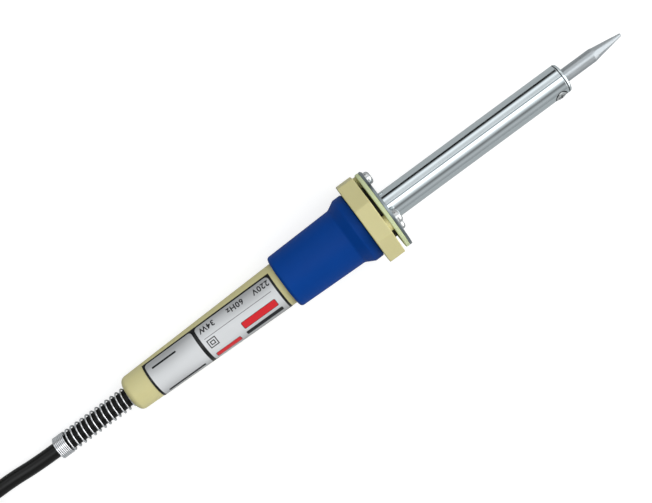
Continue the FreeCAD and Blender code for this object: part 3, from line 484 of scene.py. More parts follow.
def build_groups():
    """Moulded grain, drawn streaks, handling marks and rounded panels, each built once.

    Vectors are in metres on the iron's own axes, so a scale is in turns of noise per metre.
    """
    group, given, result = new_group("moulded grain", [
        ("Vector", "NodeSocketVector", None), ("Grain", "NodeSocketFloat", 9000.0),
        ("Mottle", "NodeSocketFloat", 260.0)],
        [("Tone", "NodeSocketFloat"), ("Height", "NodeSocketFloat"),
         ("Gloss change", "NodeSocketFloat")])
    fine = noise(group, given.outputs["Vector"], given.outputs["Grain"], 2.0, 0.6)
    broad = noise(group, given.outputs["Vector"], given.outputs["Mottle"], 4.0, 0.6)
    wire(group, calc(group, "ADD", calc(group, "MULTIPLY", broad, 0.75),
                     calc(group, "MULTIPLY", fine, 0.25)), result.inputs["Tone"])
    wire(group, calc(group, "ADD", fine, calc(group, "MULTIPLY", broad, 0.4)),
         result.inputs["Height"])
    wire(group, calc(group, "SUBTRACT", broad, 0.5), result.inputs["Gloss change"])

    group, given, result = new_group("drawn streaks", [
        ("Vector", "NodeSocketVector", None), ("Across", "NodeSocketFloat", 2600.0),
        ("Along", "NodeSocketFloat", 14.0)],
        [("Tone", "NodeSocketFloat"), ("Height", "NodeSocketFloat"),
         ("Gloss change", "NodeSocketFloat")])
    stretch = group.nodes.new("ShaderNodeCombineXYZ")
    for target, source in (("X", "Along"), ("Y", "Across"), ("Z", "Across")):
        wire(group, given.outputs[source], stretch.inputs[target])
    scaled = vector_calc(group, "MULTIPLY", given.outputs["Vector"], stretch.outputs[0])
    lines = noise(group, scaled, 1.0, 4.0, 0.7)
    clouds = noise(group, given.outputs["Vector"], 180.0, 3.0, 0.5)
    wire(group, calc(group, "ADD", calc(group, "MULTIPLY", lines, 0.6),
                     calc(group, "MULTIPLY", clouds, 0.4)), result.inputs["Tone"])
    wire(group, lines, result.inputs["Height"])
    wire(group, calc(group, "SUBTRACT", clouds, 0.45), result.inputs["Gloss change"])

    group, given, result = new_group("handling marks", [
        ("Vector", "NodeSocketVector", None), ("Scale", "NodeSocketFloat", 350.0),
        ("Cover", "NodeSocketFloat", 0.3)], [("Mask", "NodeSocketFloat")])
    patch = noise(group, given.outputs["Vector"], given.outputs["Scale"], 5.0, 0.65)
    edge = calc(group, "SUBTRACT", 0.78, calc(group, "MULTIPLY", given.outputs["Cover"], 0.4))
    wire(group, between(group, patch, edge, calc(group, "ADD", edge, 0.12)),
         result.inputs["Mask"])

    # distance outside a rounded box: |p - centre| - half + corner, length of its positive
    # part plus the larger negative part, less the corner's radius
    group, given, result = new_group("rounded panel", [
        (title, "NodeSocketFloat", 0.0) for title in
        ("X", "Y", "Centre X", "Centre Y", "Half X", "Half Y", "Corner")],
        [("Mask", "NodeSocketFloat")])
    over = []
    for letter in "XY":
        away = calc(group, "ABSOLUTE", calc(group, "SUBTRACT", given.outputs[letter],
                                            given.outputs["Centre " + letter]))
        inner = calc(group, "SUBTRACT", given.outputs["Half " + letter], given.outputs["Corner"])
        over.append(calc(group, "SUBTRACT", away, inner))
    squares = [calc(group, "POWER", calc(group, "MAXIMUM", one, 0.0), 2.0) for one in over]
    outside = calc(group, "SQRT", calc(group, "ADD", *squares))
    inside = calc(group, "MINIMUM", calc(group, "MAXIMUM", *over), 0.0)
    distance = calc(group, "SUBTRACT", calc(group, "ADD", outside, inside),
                    given.outputs["Corner"])
    soft_edge = 0.04
    wire(group, between(group, distance, -soft_edge, soft_edge, 1.0, 0.0), result.inputs["Mask"])


def use_group(tree, name, **values):
    """Places a node group, its inputs given by name with _ for spaces."""
    node = tree.nodes.new("ShaderNodeGroup")
    node.node_tree = bpy.data.node_groups[name]
    for title, value in values.items():
        wire(tree, value, node.inputs[title.replace("_", " ")])
    return node.outputs


def straight_axes(tree):
    """Object coordinates turned so that X lies along the iron and its origin is on the axis."""
    place = tree.nodes.new("ShaderNodeTexCoord")
    centred = vector_calc(tree, "SUBTRACT", place.outputs["Object"], GUARD_FACE)
    parts = [vector_calc(tree, "DOT_PRODUCT", centred, way) for way in (AXIS, SIDE, TOP)]
    joined = tree.nodes.new("ShaderNodeCombineXYZ")
    for part, socket in zip(parts, joined.inputs):
        wire(tree, part, socket)
    return joined.outputs[0], parts


def new_material(name, **plain):
    """Material with a Principled BSDF; plain values are set on its own sockets."""
    material = bpy.data.materials.new(name)
    material.use_nodes = True
    shader = material.node_tree.nodes["Principled BSDF"]
    for title, value in plain.items():
        shader.inputs[title.replace("_", " ")].default_value = value
    return material, material.node_tree, shader


def bump(tree, shader, height, strength, depth):
    """Raises and sinks the shader's surface by a height."""
    node = tree.nodes.new("ShaderNodeBump")
    node.inputs["Strength"].default_value = strength
    node.inputs["Distance"].default_value = depth
    wire(tree, height, node.inputs["Height"])
    wire(tree, node.outputs[0], shader.inputs["Normal"])


def shade_range(colour, spread, tint=(1.0, 1.0, 1.0)):
    """A darker and a lighter copy of a colour, for a noise to choose between."""
    colour = np.array(colour[:3])
    dark = colour * (1 - spread) * np.array(tint)
    light = np.clip(colour * (1 + spread), 0, 1)
    return tuple(float(c) for c in dark), tuple(float(c) for c in light)


def moulded(name, colour, rough, spread=0.05, tint=(1.0, 1.0, 1.0), grain=9000.0,
            mottle=260.0, strength=0.15, depth=0.00004, marks=0.0, **plain):
    """Moulded or rubbery finish: mottled colour, fine grain, uneven gloss, rubbed patches."""
    material, tree, shader = new_material(name, **plain)
    where, _ = straight_axes(tree)
    grain_out = use_group(tree, "moulded grain", Vector=where, Grain=grain, Mottle=mottle)
    dark, light = shade_range(colour, spread, tint)
    surface = blend(tree, grain_out["Tone"], dark, light)
    gloss = calc(tree, "MULTIPLY_ADD", grain_out["Gloss change"], 0.25, rough)
    if marks:
        mask = use_group(tree, "handling marks", Vector=where, Scale=420.0, Cover=marks)["Mask"]
        faint = calc(tree, "MULTIPLY", mask, 0.35)
        surface = blend(tree, faint, surface, light)
        gloss = calc(tree, "SUBTRACT", gloss, calc(tree, "MULTIPLY", faint, 0.3))
    wire(tree, surface, shader.inputs["Base Color"])
    wire(tree, gloss, shader.inputs["Roughness"])
    bump(tree, shader, grain_out["Height"], strength, depth)
    return material


def drawn_metal(name, colour, rough, spread=0.06, across=2600.0, along=14.0, strength=0.08,
                depth=0.00002, seam=None, tarnish=0.0):
    """Metal with fine lines along the iron.

    A seam is the roll of a rolled joint: a dull band of short ticks, and beside it a dark line.
    """
    material, tree, shader = new_material(name, Metallic=1.0)
    where, parts = straight_axes(tree)
    lines = use_group(tree, "drawn streaks", Vector=where, Across=across, Along=along)
    dark, light = shade_range(colour, spread)
    surface = blend(tree, lines["Tone"], dark, light)
    gloss = calc(tree, "MULTIPLY_ADD", lines["Gloss change"], 0.18, rough)
    height = lines["Height"]
    if tarnish:
        mask = use_group(tree, "handling marks", Vector=where, Scale=300.0, Cover=tarnish)["Mask"]
        surface = blend(tree, calc(tree, "MULTIPLY", mask, 0.5), surface, (0.32, 0.27, 0.2))
        gloss = calc(tree, "ADD", gloss, calc(tree, "MULTIPLY", mask, 0.2))
    if seam is not None:
        roll = calc(tree, "ARCTAN2", calc(tree, "MULTIPLY", parts[1], -1.0), parts[2])
        barrel_mm, line_mm = 5.5, 0.78  # the barrel's radius, and the line's place off the seam
        off = calc(tree, "MULTIPLY", calc(tree, "SUBTRACT", roll, seam), barrel_mm)
        band = between(tree, calc(tree, "ABSOLUTE", off), 0.36, 0.46, 1.0, 0.0)
        line = between(tree, calc(tree, "ABSOLUTE", calc(tree, "SUBTRACT", off, line_mm)),
                       0.1, 0.26, 1.0, 0.0)
        ticks = noise(tree, where, 9500.0, 1.0, 0.8)
        tick = calc(tree, "MULTIPLY", between(tree, ticks, 0.4, 0.62), band)
        surface = blend(tree, calc(tree, "MULTIPLY", tick, 0.3), surface, (0.3, 0.32, 0.33))
        surface = blend(tree, calc(tree, "MULTIPLY", line, 0.85), surface, (0.1, 0.12, 0.13))
        gloss = calc(tree, "ADD", gloss, calc(tree, "MULTIPLY", band, 0.16))
        height = calc(tree, "SUBTRACT", height, calc(tree, "ADD", calc(
            tree, "MULTIPLY", line, 2.0), calc(tree, "MULTIPLY", tick, 1.2)))
    wire(tree, surface, shader.inputs["Base Color"])
    wire(tree, gloss, shader.inputs["Roughness"])
    bump(tree, shader, height, strength, depth)
    return material


def turned_metal(name, colour, rough, spread=0.06, rings=5200.0, strength=0.1, depth=0.00002,
                 painted_shade_behind=None):
    """Metal turned or pressed about the iron's axis: fine rings round it and faint clouds.

    Behind the given place along the iron it is painted near black: painted shade in the groove between the barrel
    and the bush's lip, and inside the barrel.
    """
    material, tree, shader = new_material(name, Metallic=1.0)
    where, parts = straight_axes(tree)
    reach = calc(tree, "SQRT", calc(tree, "ADD", calc(tree, "POWER", parts[1], 2.0),
                                    calc(tree, "POWER", parts[2], 2.0)))
    pair = tree.nodes.new("ShaderNodeCombineXYZ")
    wire(tree, reach, pair.inputs[0])
    wire(tree, parts[0], pair.inputs[1])
    groove = noise(tree, pair.outputs[0], rings, 2.0, 0.7)
    clouds = use_group(tree, "moulded grain", Vector=where, Grain=7000.0, Mottle=420.0)
    tone = calc(tree, "ADD", calc(tree, "MULTIPLY", groove, 0.5),
                calc(tree, "MULTIPLY", clouds["Tone"], 0.5))
    dark, light = shade_range(colour, spread)
    surface = blend(tree, tone, dark, light)
    gloss = calc(tree, "MULTIPLY_ADD", clouds["Gloss change"], 0.2, rough)
    if painted_shade_behind:
        # painted shade: near black behind the given place, where the groove and the barrel's inside lie in shadow
        painted_shade = calc(tree, "LESS_THAN", parts[0], painted_shade_behind)
        surface = blend(tree, painted_shade, surface, (0.03, 0.028, 0.025))
        gloss = calc(tree, "MAXIMUM", gloss, calc(tree, "MULTIPLY", painted_shade, 0.7))
    wire(tree, surface, shader.inputs["Base Color"])
    wire(tree, gloss, shader.inputs["Roughness"])
    bump(tree, shader, groove, strength, depth)
    return material


def label_finish(name, silver, red, width, long_side):
    """Printed foil: black frame, two silver panels, a rule, a double square and plain bars.

    All measures are in mm, from the label's rear lower corner. A printed shape is given by
    its left, right, low and high edges and the radius of its corners.
    """
    material, tree, shader = new_material(name, Specular_IOR_Level=0.4)
    uv = tree.nodes.new("ShaderNodeUVMap")
    uv.uv_map = "print"
    split = tree.nodes.new("ShaderNodeSeparateXYZ")
    wire(tree, uv.outputs[0], split.inputs[0])
    x = calc(tree, "MULTIPLY", split.outputs[0], long_side)
    y = calc(tree, "MULTIPLY", split.outputs[1], width)

    def panel(left, right, low, high, corner):
        return use_group(tree, "rounded panel", X=x, Y=y, Centre_X=(left + right) / 2,
                         Centre_Y=(low + high) / 2, Half_X=(right - left) / 2,
                         Half_Y=(high - low) / 2, Corner=corner)["Mask"]

    def square_line(left, right, low, high, corner):
        """Outline of a square: the outer shape less the one inside it."""
        thick = 0.35
        return calc(tree, "SUBTRACT", panel(left, right, low, high, corner),
                    panel(left + thick, right - thick, low + thick, high - thick, 0.05),
                    clamp=True)

    # silver foil with painted shade towards its long edges, so it is lighter along the middle as if lit there,
    # with faint brushed lines
    middle = calc(tree, "ABSOLUTE", calc(tree, "SUBTRACT", calc(tree, "DIVIDE", y, width), 0.5))
    sweep = calc(tree, "SINE", calc(tree, "MULTIPLY_ADD", x, 0.16, 0.4))
    painted_edge_shade = between(tree, calc(tree, "ADD", middle, calc(tree, "MULTIPLY", sweep, 0.06)),
                   0.04, 0.5)
    where, _ = straight_axes(tree)
    lines = use_group(tree, "drawn streaks", Vector=where, Across=5200.0, Along=40.0)
    foil = blend(tree, painted_edge_shade, silver, tuple(c * 0.6 for c in silver))
    foil = blend(tree, calc(tree, "MULTIPLY", lines["Tone"], 0.12), foil, (0.35, 0.36, 0.37))

    # black frame round the two panels
    ink = (0.006, 0.006, 0.007)
    side, foot, head, corner = 0.85, 0.65, width - 0.75, 1.3
    rear_panel = panel(side, 20.7, foot, head, corner)
    front_panel = panel(22.1, long_side - side, foot, head, corner)
    surface = blend(tree, calc(tree, "MAXIMUM", rear_panel, front_panel), ink, foil)

    # thin rule under the ratings, double square and plain black bars
    rule = width * 0.655
    marks = panel(23.4, long_side - 2.6, rule, rule + 0.16, 0.05)
    for mark in (square_line(23.5, 27.0, 7.9, 11.1, 0.1),
                 square_line(24.35, 26.15, 8.75, 10.25, 0.05),
                 panel(36.2, 51.4, 3.0, 5.0, 0.4), panel(2.9, 18.4, 3.0, 4.2, 0.3),
                 panel(2.9, 13.0, 14.2, 14.9, 0.3)):
        marks = calc(tree, "MAXIMUM", marks, mark)
    surface = blend(tree, marks, surface, ink)

    # red bars with a thin black outline
    outline = 0.18
    for left, right, low, high in ((36.8, 50.8, 6.5, 9.1), (23.6, 33.6, 2.9, 5.0)):
        edge = panel(left - outline, right + outline, low - outline, high + outline, 0.5)
        surface = blend(tree, edge, surface, ink)
        surface = blend(tree, panel(left, right, low, high, 0.4), surface, red)
    wire(tree, surface, shader.inputs["Base Color"])
    wire(tree, calc(tree, "MULTIPLY_ADD", lines["Gloss change"], 0.2, 0.34),
         shader.inputs["Roughness"])
    # the same painted edge shade also makes the foil more metallic towards its long edges
    wire(tree, calc(tree, "MULTIPLY", painted_edge_shade, 0.25), shader.inputs["Metallic"])
    bump(tree, shader, lines["Height"], 0.05, 0.00001)
    return material


def paint(piece, material):
    """Gives a piece, or a carried-over CAD node, one material in every slot."""
    data = piece.data
    if not data.materials:
        data.materials.append(material)
    for number in range(len(data.materials)):
        data.materials[number] = material


def dress(node, material, angle=34.0):
    """CAD node with its facets joined and shaded smooth up to an angle, in a finish."""
    piece = NODES[node]
    paint(piece, material)
    piece.data.polygons.foreach_set("use_smooth", np.ones(len(piece.data.polygons), bool))
    join = piece.modifiers.new("Join facets", "WELD")
    join.merge_threshold = 0.000002
    split = piece.modifiers.new("Keep edges", "EDGE_SPLIT")
    split.split_angle = math.radians(angle)


# ------------------------------------------------------------------ the pieces
class IRON_OT_groups(bpy.types.Operator):
    """Build the shared node groups"""
    bl_idname = "iron.groups"
    bl_label = "Shared finishes"

    def execute(self, context):
        build_groups()
        return {"FINISHED"}


# brightness of the surroundings, by degrees round the iron's axis from overhead to its right
LIGHT_BANDS = [(-180, 0.7), (-139, 0.55), (-122, 0.46), (-111, 0.4), (-105, 0.26), (-99, 0.02),
               (-69, 0.02), (-63, 0.45), (-58, 0.9), (-52, 1.2), (-46, 1.15), (-36, 0.8),
               (-20, 0.76), (-13, 1.0), (-7, 1.6), (0, 1.9), (14, 1.7), (21, 1.1), (29, 0.72),
               (36, 0.46), (43, 0.22), (50, 0.26), (58, 0.48), (68, 0.58), (84, 0.42),
               (110, 0.36), (139, 0.42), (180, 0.7)]
LIGHT_TINT = (0.49, 0.502, 0.51)
BACKDROP = (0.47, 0.47, 0.475)


class IRON_OT_stage(bpy.types.Operator):
    """Set the camera, the pale floor and the soft light"""
    bl_idname = "iron.stage"
    bl_label = "Stage"

    def execute(self, context):
        s = sizes("stage")
        scene = context.scene
        scene.view_settings.view_transform = "Standard"
        upright = math.cos(s.lean_side) * TOP + math.sin(s.lean_side) * SIDE
        out = math.cos(s.lean_front) * upright + math.sin(s.lean_front) * AXIS
        aim = GUARD_FACE - s.aim * AXIS
        along = AXIS - (AXIS @ out) * out
        along /= np.linalg.norm(along)
        across = np.cross(out, along)
        right = math.cos(s.turn) * along - math.sin(s.turn) * across
        up = math.sin(s.turn) * along + math.cos(s.turn) * across
        data = bpy.data.cameras.new("View")
        data.lens, data.sensor_width, data.sensor_fit = s.focal, 36.0, "HORIZONTAL"
        data.clip_start, data.clip_end = 0.01, 20.0
        camera = bpy.data.objects.new("View", data)
        scene.collection.objects.link(camera)
        pose = np.eye(4)
        pose[:3, 0], pose[:3, 1], pose[:3, 2], pose[:3, 3] = right, up, out, aim + s.distance * out
        camera.matrix_world = Matrix(pose.tolist())
        scene.camera = camera
        self.floor(context)
        self.surroundings(context, s, out)
        return {"FINISHED"}

    def floor(self, context):
        """Pale flat floor under the lowest point, wide enough to fill every view.

        The camera sees it a little brighter than the iron does.
        """
        low = CAD_BOX[0][2] - 0.05 * MM
        reach = 4.0
        mesh = bpy.data.meshes.new("Floor")
        mesh.from_pydata([(-reach, -reach, low), (reach, -reach, low), (reach, reach, low),
                          (-reach, reach, low)], [], [(0, 1, 2, 3)])
        floor = bpy.data.objects.new("Floor", mesh)
        context.scene.collection.objects.link(floor)
        material = bpy.data.materials.new("Pale floor")
        material.use_nodes = True
        tree = material.node_tree
        tree.nodes.clear()
        result = tree.nodes.new("ShaderNodeOutputMaterial")
        seen = tree.nodes.new("ShaderNodeLightPath")
        plain = tree.nodes.new("ShaderNodeBsdfDiffuse")
        plain.inputs[0].default_value = (0.5, 0.51, 0.51, 1)
        pale = tree.nodes.new("ShaderNodeBsdfDiffuse")
        pale.inputs[0].default_value = (0.42, 0.42, 0.42, 1)
        glow = tree.nodes.new("ShaderNodeEmission")
        glow.inputs[1].default_value = 0.72
        both = tree.nodes.new("ShaderNodeAddShader")
        wire(tree, pale.outputs[0], both.inputs[0])
        wire(tree, glow.outputs[0], both.inputs[1])
        choose = tree.nodes.new("ShaderNodeMixShader")
        wire(tree, seen.outputs["Is Camera Ray"], choose.inputs[0])
        wire(tree, plain.outputs[0], choose.inputs[1])
        wire(tree, both.outputs[0], choose.inputs[2])
        wire(tree, choose.outputs[0], result.inputs[0])
        mesh.materials.append(material)

    def surroundings(self, context, s, out):
        """Soft light in long bands beside the iron, by the angle round its axis.

        The angle is 0 overhead and grows towards the iron's right-hand side. The bands are
        dimmed towards the handle's end, and a fill is added on the right in front.
        """
        world = bpy.data.worlds.new("Soft studio")
        context.scene.world = world
        world.use_nodes = True
        tree = world.node_tree
        tree.nodes.clear()
        result = tree.nodes.new("ShaderNodeOutputWorld")
        light = tree.nodes.new("ShaderNodeBackground")
        place = tree.nodes.new("ShaderNodeTexCoord")
        overhead = out - (out @ AXIS) * AXIS
        overhead /= np.linalg.norm(overhead)
        rightward = np.cross(overhead, AXIS)
        rightward *= math.copysign(1, -rightward[1])
        across, above, ahead = (vector_calc(tree, "DOT_PRODUCT", place.outputs["Generated"], way)
                                for way in (rightward, overhead, AXIS))
        angle = calc(tree, "ARCTAN2", across, above)
        ramp = tree.nodes.new("ShaderNodeValToRGB")
        wire(tree, calc(tree, "MULTIPLY_ADD", angle, 0.5 / math.pi, 0.5), ramp.inputs[0])
        points = ramp.color_ramp.elements
        while len(points) < len(LIGHT_BANDS):
            points.new(0.5)
        for point, (degrees, level) in zip(points, LIGHT_BANDS):
            point.position = (degrees + 180) / 360
            point.color = (*(level * part for part in LIGHT_TINT), 1)
        shade = between(tree, ahead, -0.75, -0.12, s.rear_shade, 1.0)
        fill = calc(tree, "MULTIPLY", between(tree, ahead, 0.22, 0.6),
                    between(tree, angle, 0.1, 0.9))
        shade = calc(tree, "MULTIPLY_ADD", fill, s.side_fill, shade)
        least = calc(tree, "MULTIPLY", between(tree, ahead, 0.16, 0.34), 0.36)
        lit = tree.nodes.new("ShaderNodeVectorMath")
        lit.operation = "SCALE"
        wire(tree, vector_calc(tree, "MAXIMUM", ramp.outputs[0], least), lit.inputs[0])
        wire(tree, shade, lit.inputs["Scale"])
        seen = tree.nodes.new("ShaderNodeLightPath")
        backdrop = blend(tree, seen.outputs["Is Camera Ray"], lit.outputs[0], BACKDROP)
        wire(tree, backdrop, light.inputs[0])
        light.inputs[1].default_value = 2.0 * s.light
        wire(tree, light.outputs[0], result.inputs[0])


# points of the cord in mm, listed as (along the bench, to the left, height): out of the
# spring to the hank, and down from the hank's top run to the plug
LEAD_ROUTE = [(-120.03, 0, 4.06), (-129, 0, 3.29), (-139, 1.0, 3.35), (-149.5, 1.0, 3.35),
              (-157, 3.4, 3.35), (-168, 7.6, 3.35)]
TAIL_ROUTE = [(-249.4, 8.0, 24.95), (-262, 8.0, 24.95), (-275.8, 8.0, 24.95),
              (-283.3, 6.42, 22.17), (-295.0, -0.62, 9.78), (-302.5, -2.2, 7.0),
              (-310, -2.2, 7.0)]
HANK_TURNS = 4


def hank_points(s):
    """Control points of the whole cord: lead, the hank's turns, one more run, and tail.

    A turn is a far fold, a run back, a near fold and a run out, one diameter above the turn
    before. On a run the strand stands off the hank's middle line by
    R - (R - w) cos^2(pi x / L), so it is drawn in at the tie; on a fold the points lie at
    R / 0.966 every 30 degrees, which puts the spline on R. The rise to the next turn takes
    the first part of each near fold, so that it passes over the lead.
    """
    radius, middle, near = s.fold, -s.aside, -s.near
    levels = [s.lowest + s.diameter * turn for turn in range(HANK_TURNS + 1)]
    far, centre = near - s.run, near - s.run / 2
    steps = np.array([1, 0.5, 0, -0.5, -1]) * s.run / 3
    off = radius - (radius - s.waist) * np.cos(math.pi * steps / s.run) ** 2
    swing = np.radians([75, 45, 15, -15, -45, -75])
    reach = radius / 0.966
    points = [tuple(MM * value for value in point) for point in LEAD_ROUTE]
    for height, above in zip(levels, levels[1:] + [None]):
        points += [(centre + x, middle + y, height) for x, y in zip(steps, off)]
        if above is None:
            break
        points += [(far - reach * math.cos(a), middle + reach * math.sin(a), height)
                   for a in swing]
        points += [(centre - x, middle - y, height) for x, y in zip(steps, off)]
        for share, a in zip(np.linspace(0, 1, 6), -swing):
            risen = min(share / 0.7, 1.0)
            points.append((near + reach * math.cos(a), middle + reach * math.sin(a),
                           height + (above - height) * risen ** 2 * (3 - 2 * risen)))
    return points + [tuple(MM * value for value in point) for point in TAIL_ROUTE]


class IRON_OT_cord(bpy.types.Operator):
    """Lay the mains cord: out of the spring, wound in a tied hank, and on to the plug"""
    bl_idname = "iron.cord"
    bl_label = "Cord, tie and plug"

    def execute(self, context):
        s = sizes("cord")
        data = bpy.data.curves.new("Mains cord", "CURVE")
        data.dimensions = "3D"
        points = hank_points(s)
        spline = data.splines.new("NURBS")
        spline.points.add(len(points) - 1)
        spline.points.foreach_set("co", np.array([(*p, 1.0) for p in points]).ravel())
        spline.points.foreach_set("radius", np.full(len(points), s.diameter / 2))
        spline.order_u = 3
        spline.use_endpoint_u = True
        data.resolution_u = 6
        data.bevel_depth = 1.0
        data.bevel_resolution = 5
        data.use_fill_caps = True
        cord = bpy.data.objects.new("Mains_cord", data)
        context.scene.collection.objects.link(cord)
        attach(cord, "iron")
        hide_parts("mains_cord", "cord_hank", "cord_tail")
        black = tuple(s.black)
        jacket = moulded("Cord jacket", black, 0.3, spread=0.12, grain=5200.0, mottle=160.0,
                         strength=0.12, depth=0.00003, marks=0.25, Specular_IOR_Level=0.3)
        paint(cord, jacket)
        plug = moulded("Moulded plug", black, 0.42, spread=0.14, grain=7600.0, strength=0.25,
                       depth=0.00004, marks=0.3)
        dress("plug_body", plug)
        dress("plug_strain_relief", plug)
        dress("plug_pins", drawn_metal("Plug pins", (0.62, 0.6, 0.55), 0.2, across=1800.0,
                                       tarnish=0.3))
        tie = moulded("Tie strap", tuple(c * 0.8 for c in black), 0.7, spread=0.25,
                      grain=2600.0, mottle=900.0, strength=0.7, depth=0.0001,
                      Sheen_Weight=0.3, Sheen_Roughness=0.4)
        dress("hank_tie", tie, 60.0)
        dress("cord_inner_end", jacket)
        return {"FINISHED"}


class IRON_OT_bit(bpy.types.Operator):
    """Make the plated bit with its eight ground flats"""
    bl_idname = "iron.bit"
    bl_label = "Bit"

    def execute(self, context):
        """Distance from the axis is the smaller of the turned radius and flat / cos(w).

        w is the angle from the nearest flat's middle, so the second is an octagon.
        """
        s = sizes("bit")
        rear, neck, point = s.reach - s.length, s.reach - s.cone, s.reach
        outline = rounded([(rear, 0, 0), (rear, s.radius, 0.25 * MM),
                           (neck - s.shoulder, s.radius, 0.5 * MM), (neck, s.neck, 0.0),
                           (point, s.end_radius, s.end_round), (point, 0, 0)], closed=False)
        cone = np.linspace(0.02, 0.97, 22)[:, None]
        start, end = np.array([neck, s.neck]), np.array([point, s.end_radius])
        at = int(np.argmin(np.abs(outline[:, 0] - neck) + np.abs(outline[:, 1] - s.neck)))
        outline = np.vstack([outline[1:at + 1], start + cone * (end - start), outline[at + 1:-1]])
        roll = np.linspace(0, 2 * math.pi, 160, endpoint=False)
        off = (roll + math.pi / 8) % (math.pi / 4) - math.pi / 8
        along, radius = outline[:, :1], outline[:, 1:]
        slope = (s.flat_end - s.flat_reach) / (s.cone + 1 * MM)
        flat = np.where(along >= neck - 1e-7, s.flat_reach + (along - neck) * slope, 1.0)
        reach = np.minimum(radius, flat / np.cos(off))
        points = rolled(along + 0 * roll, reach, roll + 0 * along)
        piece = new_piece("Bit", [shell(points, False, True, True)], "bit",
                          ["soldering_tip"], sharp=20.0)
        paint(piece, drawn_metal("Bit plating", tuple(s.plating), s.shine, spread=0.12,
                                 across=3600.0, along=60.0, strength=0.25, depth=0.00003))
        return {"FINISHED"}


class IRON_OT_barrel(bpy.types.Operator):
    """Make the bright barrel with its screw hole, and the bush in its front"""
    bl_idname = "iron.barrel"
    bl_label = "Barrel and bush"

    def execute(self, context):
        s = sizes("barrel")
        piece = new_piece("Barrel", [self.tube(s)], "iron", ["barrel_tube"])
        paint(piece, drawn_metal("Barrel steel", tuple(s.steel), 0.1, spread=0.03,
                                 across=2400.0, along=8.0, strength=0.06, seam=s.seam_roll))
        inside = s.radius - s.wall - 0.03 * MM
        lip = s.front + s.lip
        bush = rounded([(s.front - s.bush, s.bore, 0), (lip, s.bore, 0.12 * MM),
                        (lip, s.radius, s.lip_round), (s.front + s.groove, s.radius, 0.12 * MM),
                        (s.front + s.groove, inside, 0), (s.front - s.bush, inside, 0)])
        piece = new_piece("Bush", [turned(bush)], "iron", ["tip_bush"])
        # the bush is painted near black from the groove backwards, as painted shade in the groove and under the
        # barrel
        paint(piece, turned_metal("Bush steel", tuple(s.steel), 0.16, spread=0.05,
                                  painted_shade_behind=s.front + s.groove + 0.02 * MM))
        return {"FINISHED"}

    def tube(self, s):
        """Tube with a turned-out foot and a round hole.

        The wall is a grid of rings. A window of the grid on the outer and the inner wall is
        left out, and rings that turn from the window's outline into a circle fill it; the
        circle is a straight hole, so its roll from the hole's middle is asin(across / R).
        """
        columns, half = 96, 8
        step = 2 * math.pi / columns
        roll = s.hole_roll + step * np.arange(columns)
        inner = s.radius - s.wall
        room, edge, fillet = 2.85 * MM, 0.14 * MM, 0.4 * MM
        window = np.linspace(-room, room, 2 * half + 1) + s.hole_place
        bow = np.linspace(0, math.pi / 2, 5)[1:-1]
        outer_rows = ([(s.rear + fillet, s.radius), (s.rear + 3 * fillet, s.radius)]
                      + [(x, s.radius) for x in window] + [(s.front - 2 * edge, s.radius),
                                                           (s.front - edge, s.radius)]
                      + [(s.front - edge + edge * math.sin(a), s.radius - edge * (1 - math.cos(a)))
                         for a in bow] + [(s.front, s.radius - edge), (s.front, inner)])
        inner_rows = ([(x, inner) for x in window[::-1]]
                      + [(s.rear - s.foot, inner), (s.rear - s.foot, s.foot_radius),
                         (s.rear, s.foot_radius), (s.rear, s.radius + fillet),
                         (s.rear + 0.3 * fillet, s.radius + 0.25 * fillet)])
        rows = np.array(outer_rows + inner_rows)
        points = rolled(rows[:, :1] + 0 * roll, rows[:, 1:] + 0 * roll, roll + 0 * rows[:, :1])
        vertices, quads, _ = shell(points, closed=True)
        left_out = np.zeros((len(rows), columns), bool)
        extra, circles, joined, spare = [], [], [], len(vertices)
        for start, radius, along in ((2, s.radius, 1), (len(outer_rows), inner, -1)):
            low, high = start, start + 2 * half
            left_out[low:high, np.arange(-half, half)] = True
            across = np.arange(-half, half + 1)
            loop = np.array([(low, c) for c in across]
                            + [(r, half) for r in range(low + 1, high + 1)]
                            + [(high, c) for c in across[::-1][1:]]
                            + [(r, -half) for r in range(high - 1, low, -1)])
            border = loop[:, 0] * columns + loop[:, 1] % columns
            place, aim = (np.stack([rows[loop[:, 0], 0] - s.hole_place,
                                    reach * np.sin(step * loop[:, 1])], -1)
                          for reach in (radius, s.radius))
            circle = s.hole * aim / np.linalg.norm(aim, axis=1)[:, None]
            rings = [border]
            for share in (0.35, 0.7, 0.92, 1.0):
                spot = place + share * (circle - place)
                extra.append(rolled(s.hole_place + spot[:, 0], radius,
                                    s.hole_roll + np.arcsin(spot[:, 1] / radius)))
                rings.append(spare + np.arange(len(loop)))
                spare += len(loop)
            for one, other in zip(rings, rings[1:]):
                joined.append(np.stack([one, np.roll(one, -1), np.roll(other, -1), other], -1))
            circles.append({(along * (row - start - half), column): vertex
                            for (row, column), vertex in zip(loop.tolist(), rings[-1])})
        # the two circles run opposite ways round, so each point is matched by its place
        one = np.array(list(circles[0].values()))
        other = np.array([circles[1][key] for key in circles[0]])
        joined.append(np.stack([one, np.roll(one, -1), np.roll(other, -1), other], -1))
        kept = quads.reshape(len(rows), columns, 4)[~left_out]
        used, quads = np.unique(np.vstack([kept] + joined), return_inverse=True)
        vertices = np.vstack([vertices] + extra)[used]
        mesh = bpy.data.meshes.new("Barrel tube")
        mesh.from_pydata(vertices.tolist(), [], quads.reshape(-1, 4).tolist())
        work = bmesh.new()
        work.from_mesh(mesh)
        bmesh.ops.recalc_face_normals(work, faces=work.faces)
        work.to_mesh(mesh)
        work.free()
        vertices, quads = arrays_of(mesh, 4)
        bpy.data.meshes.remove(mesh)
        return vertices, quads, np.zeros((0, 3), int)


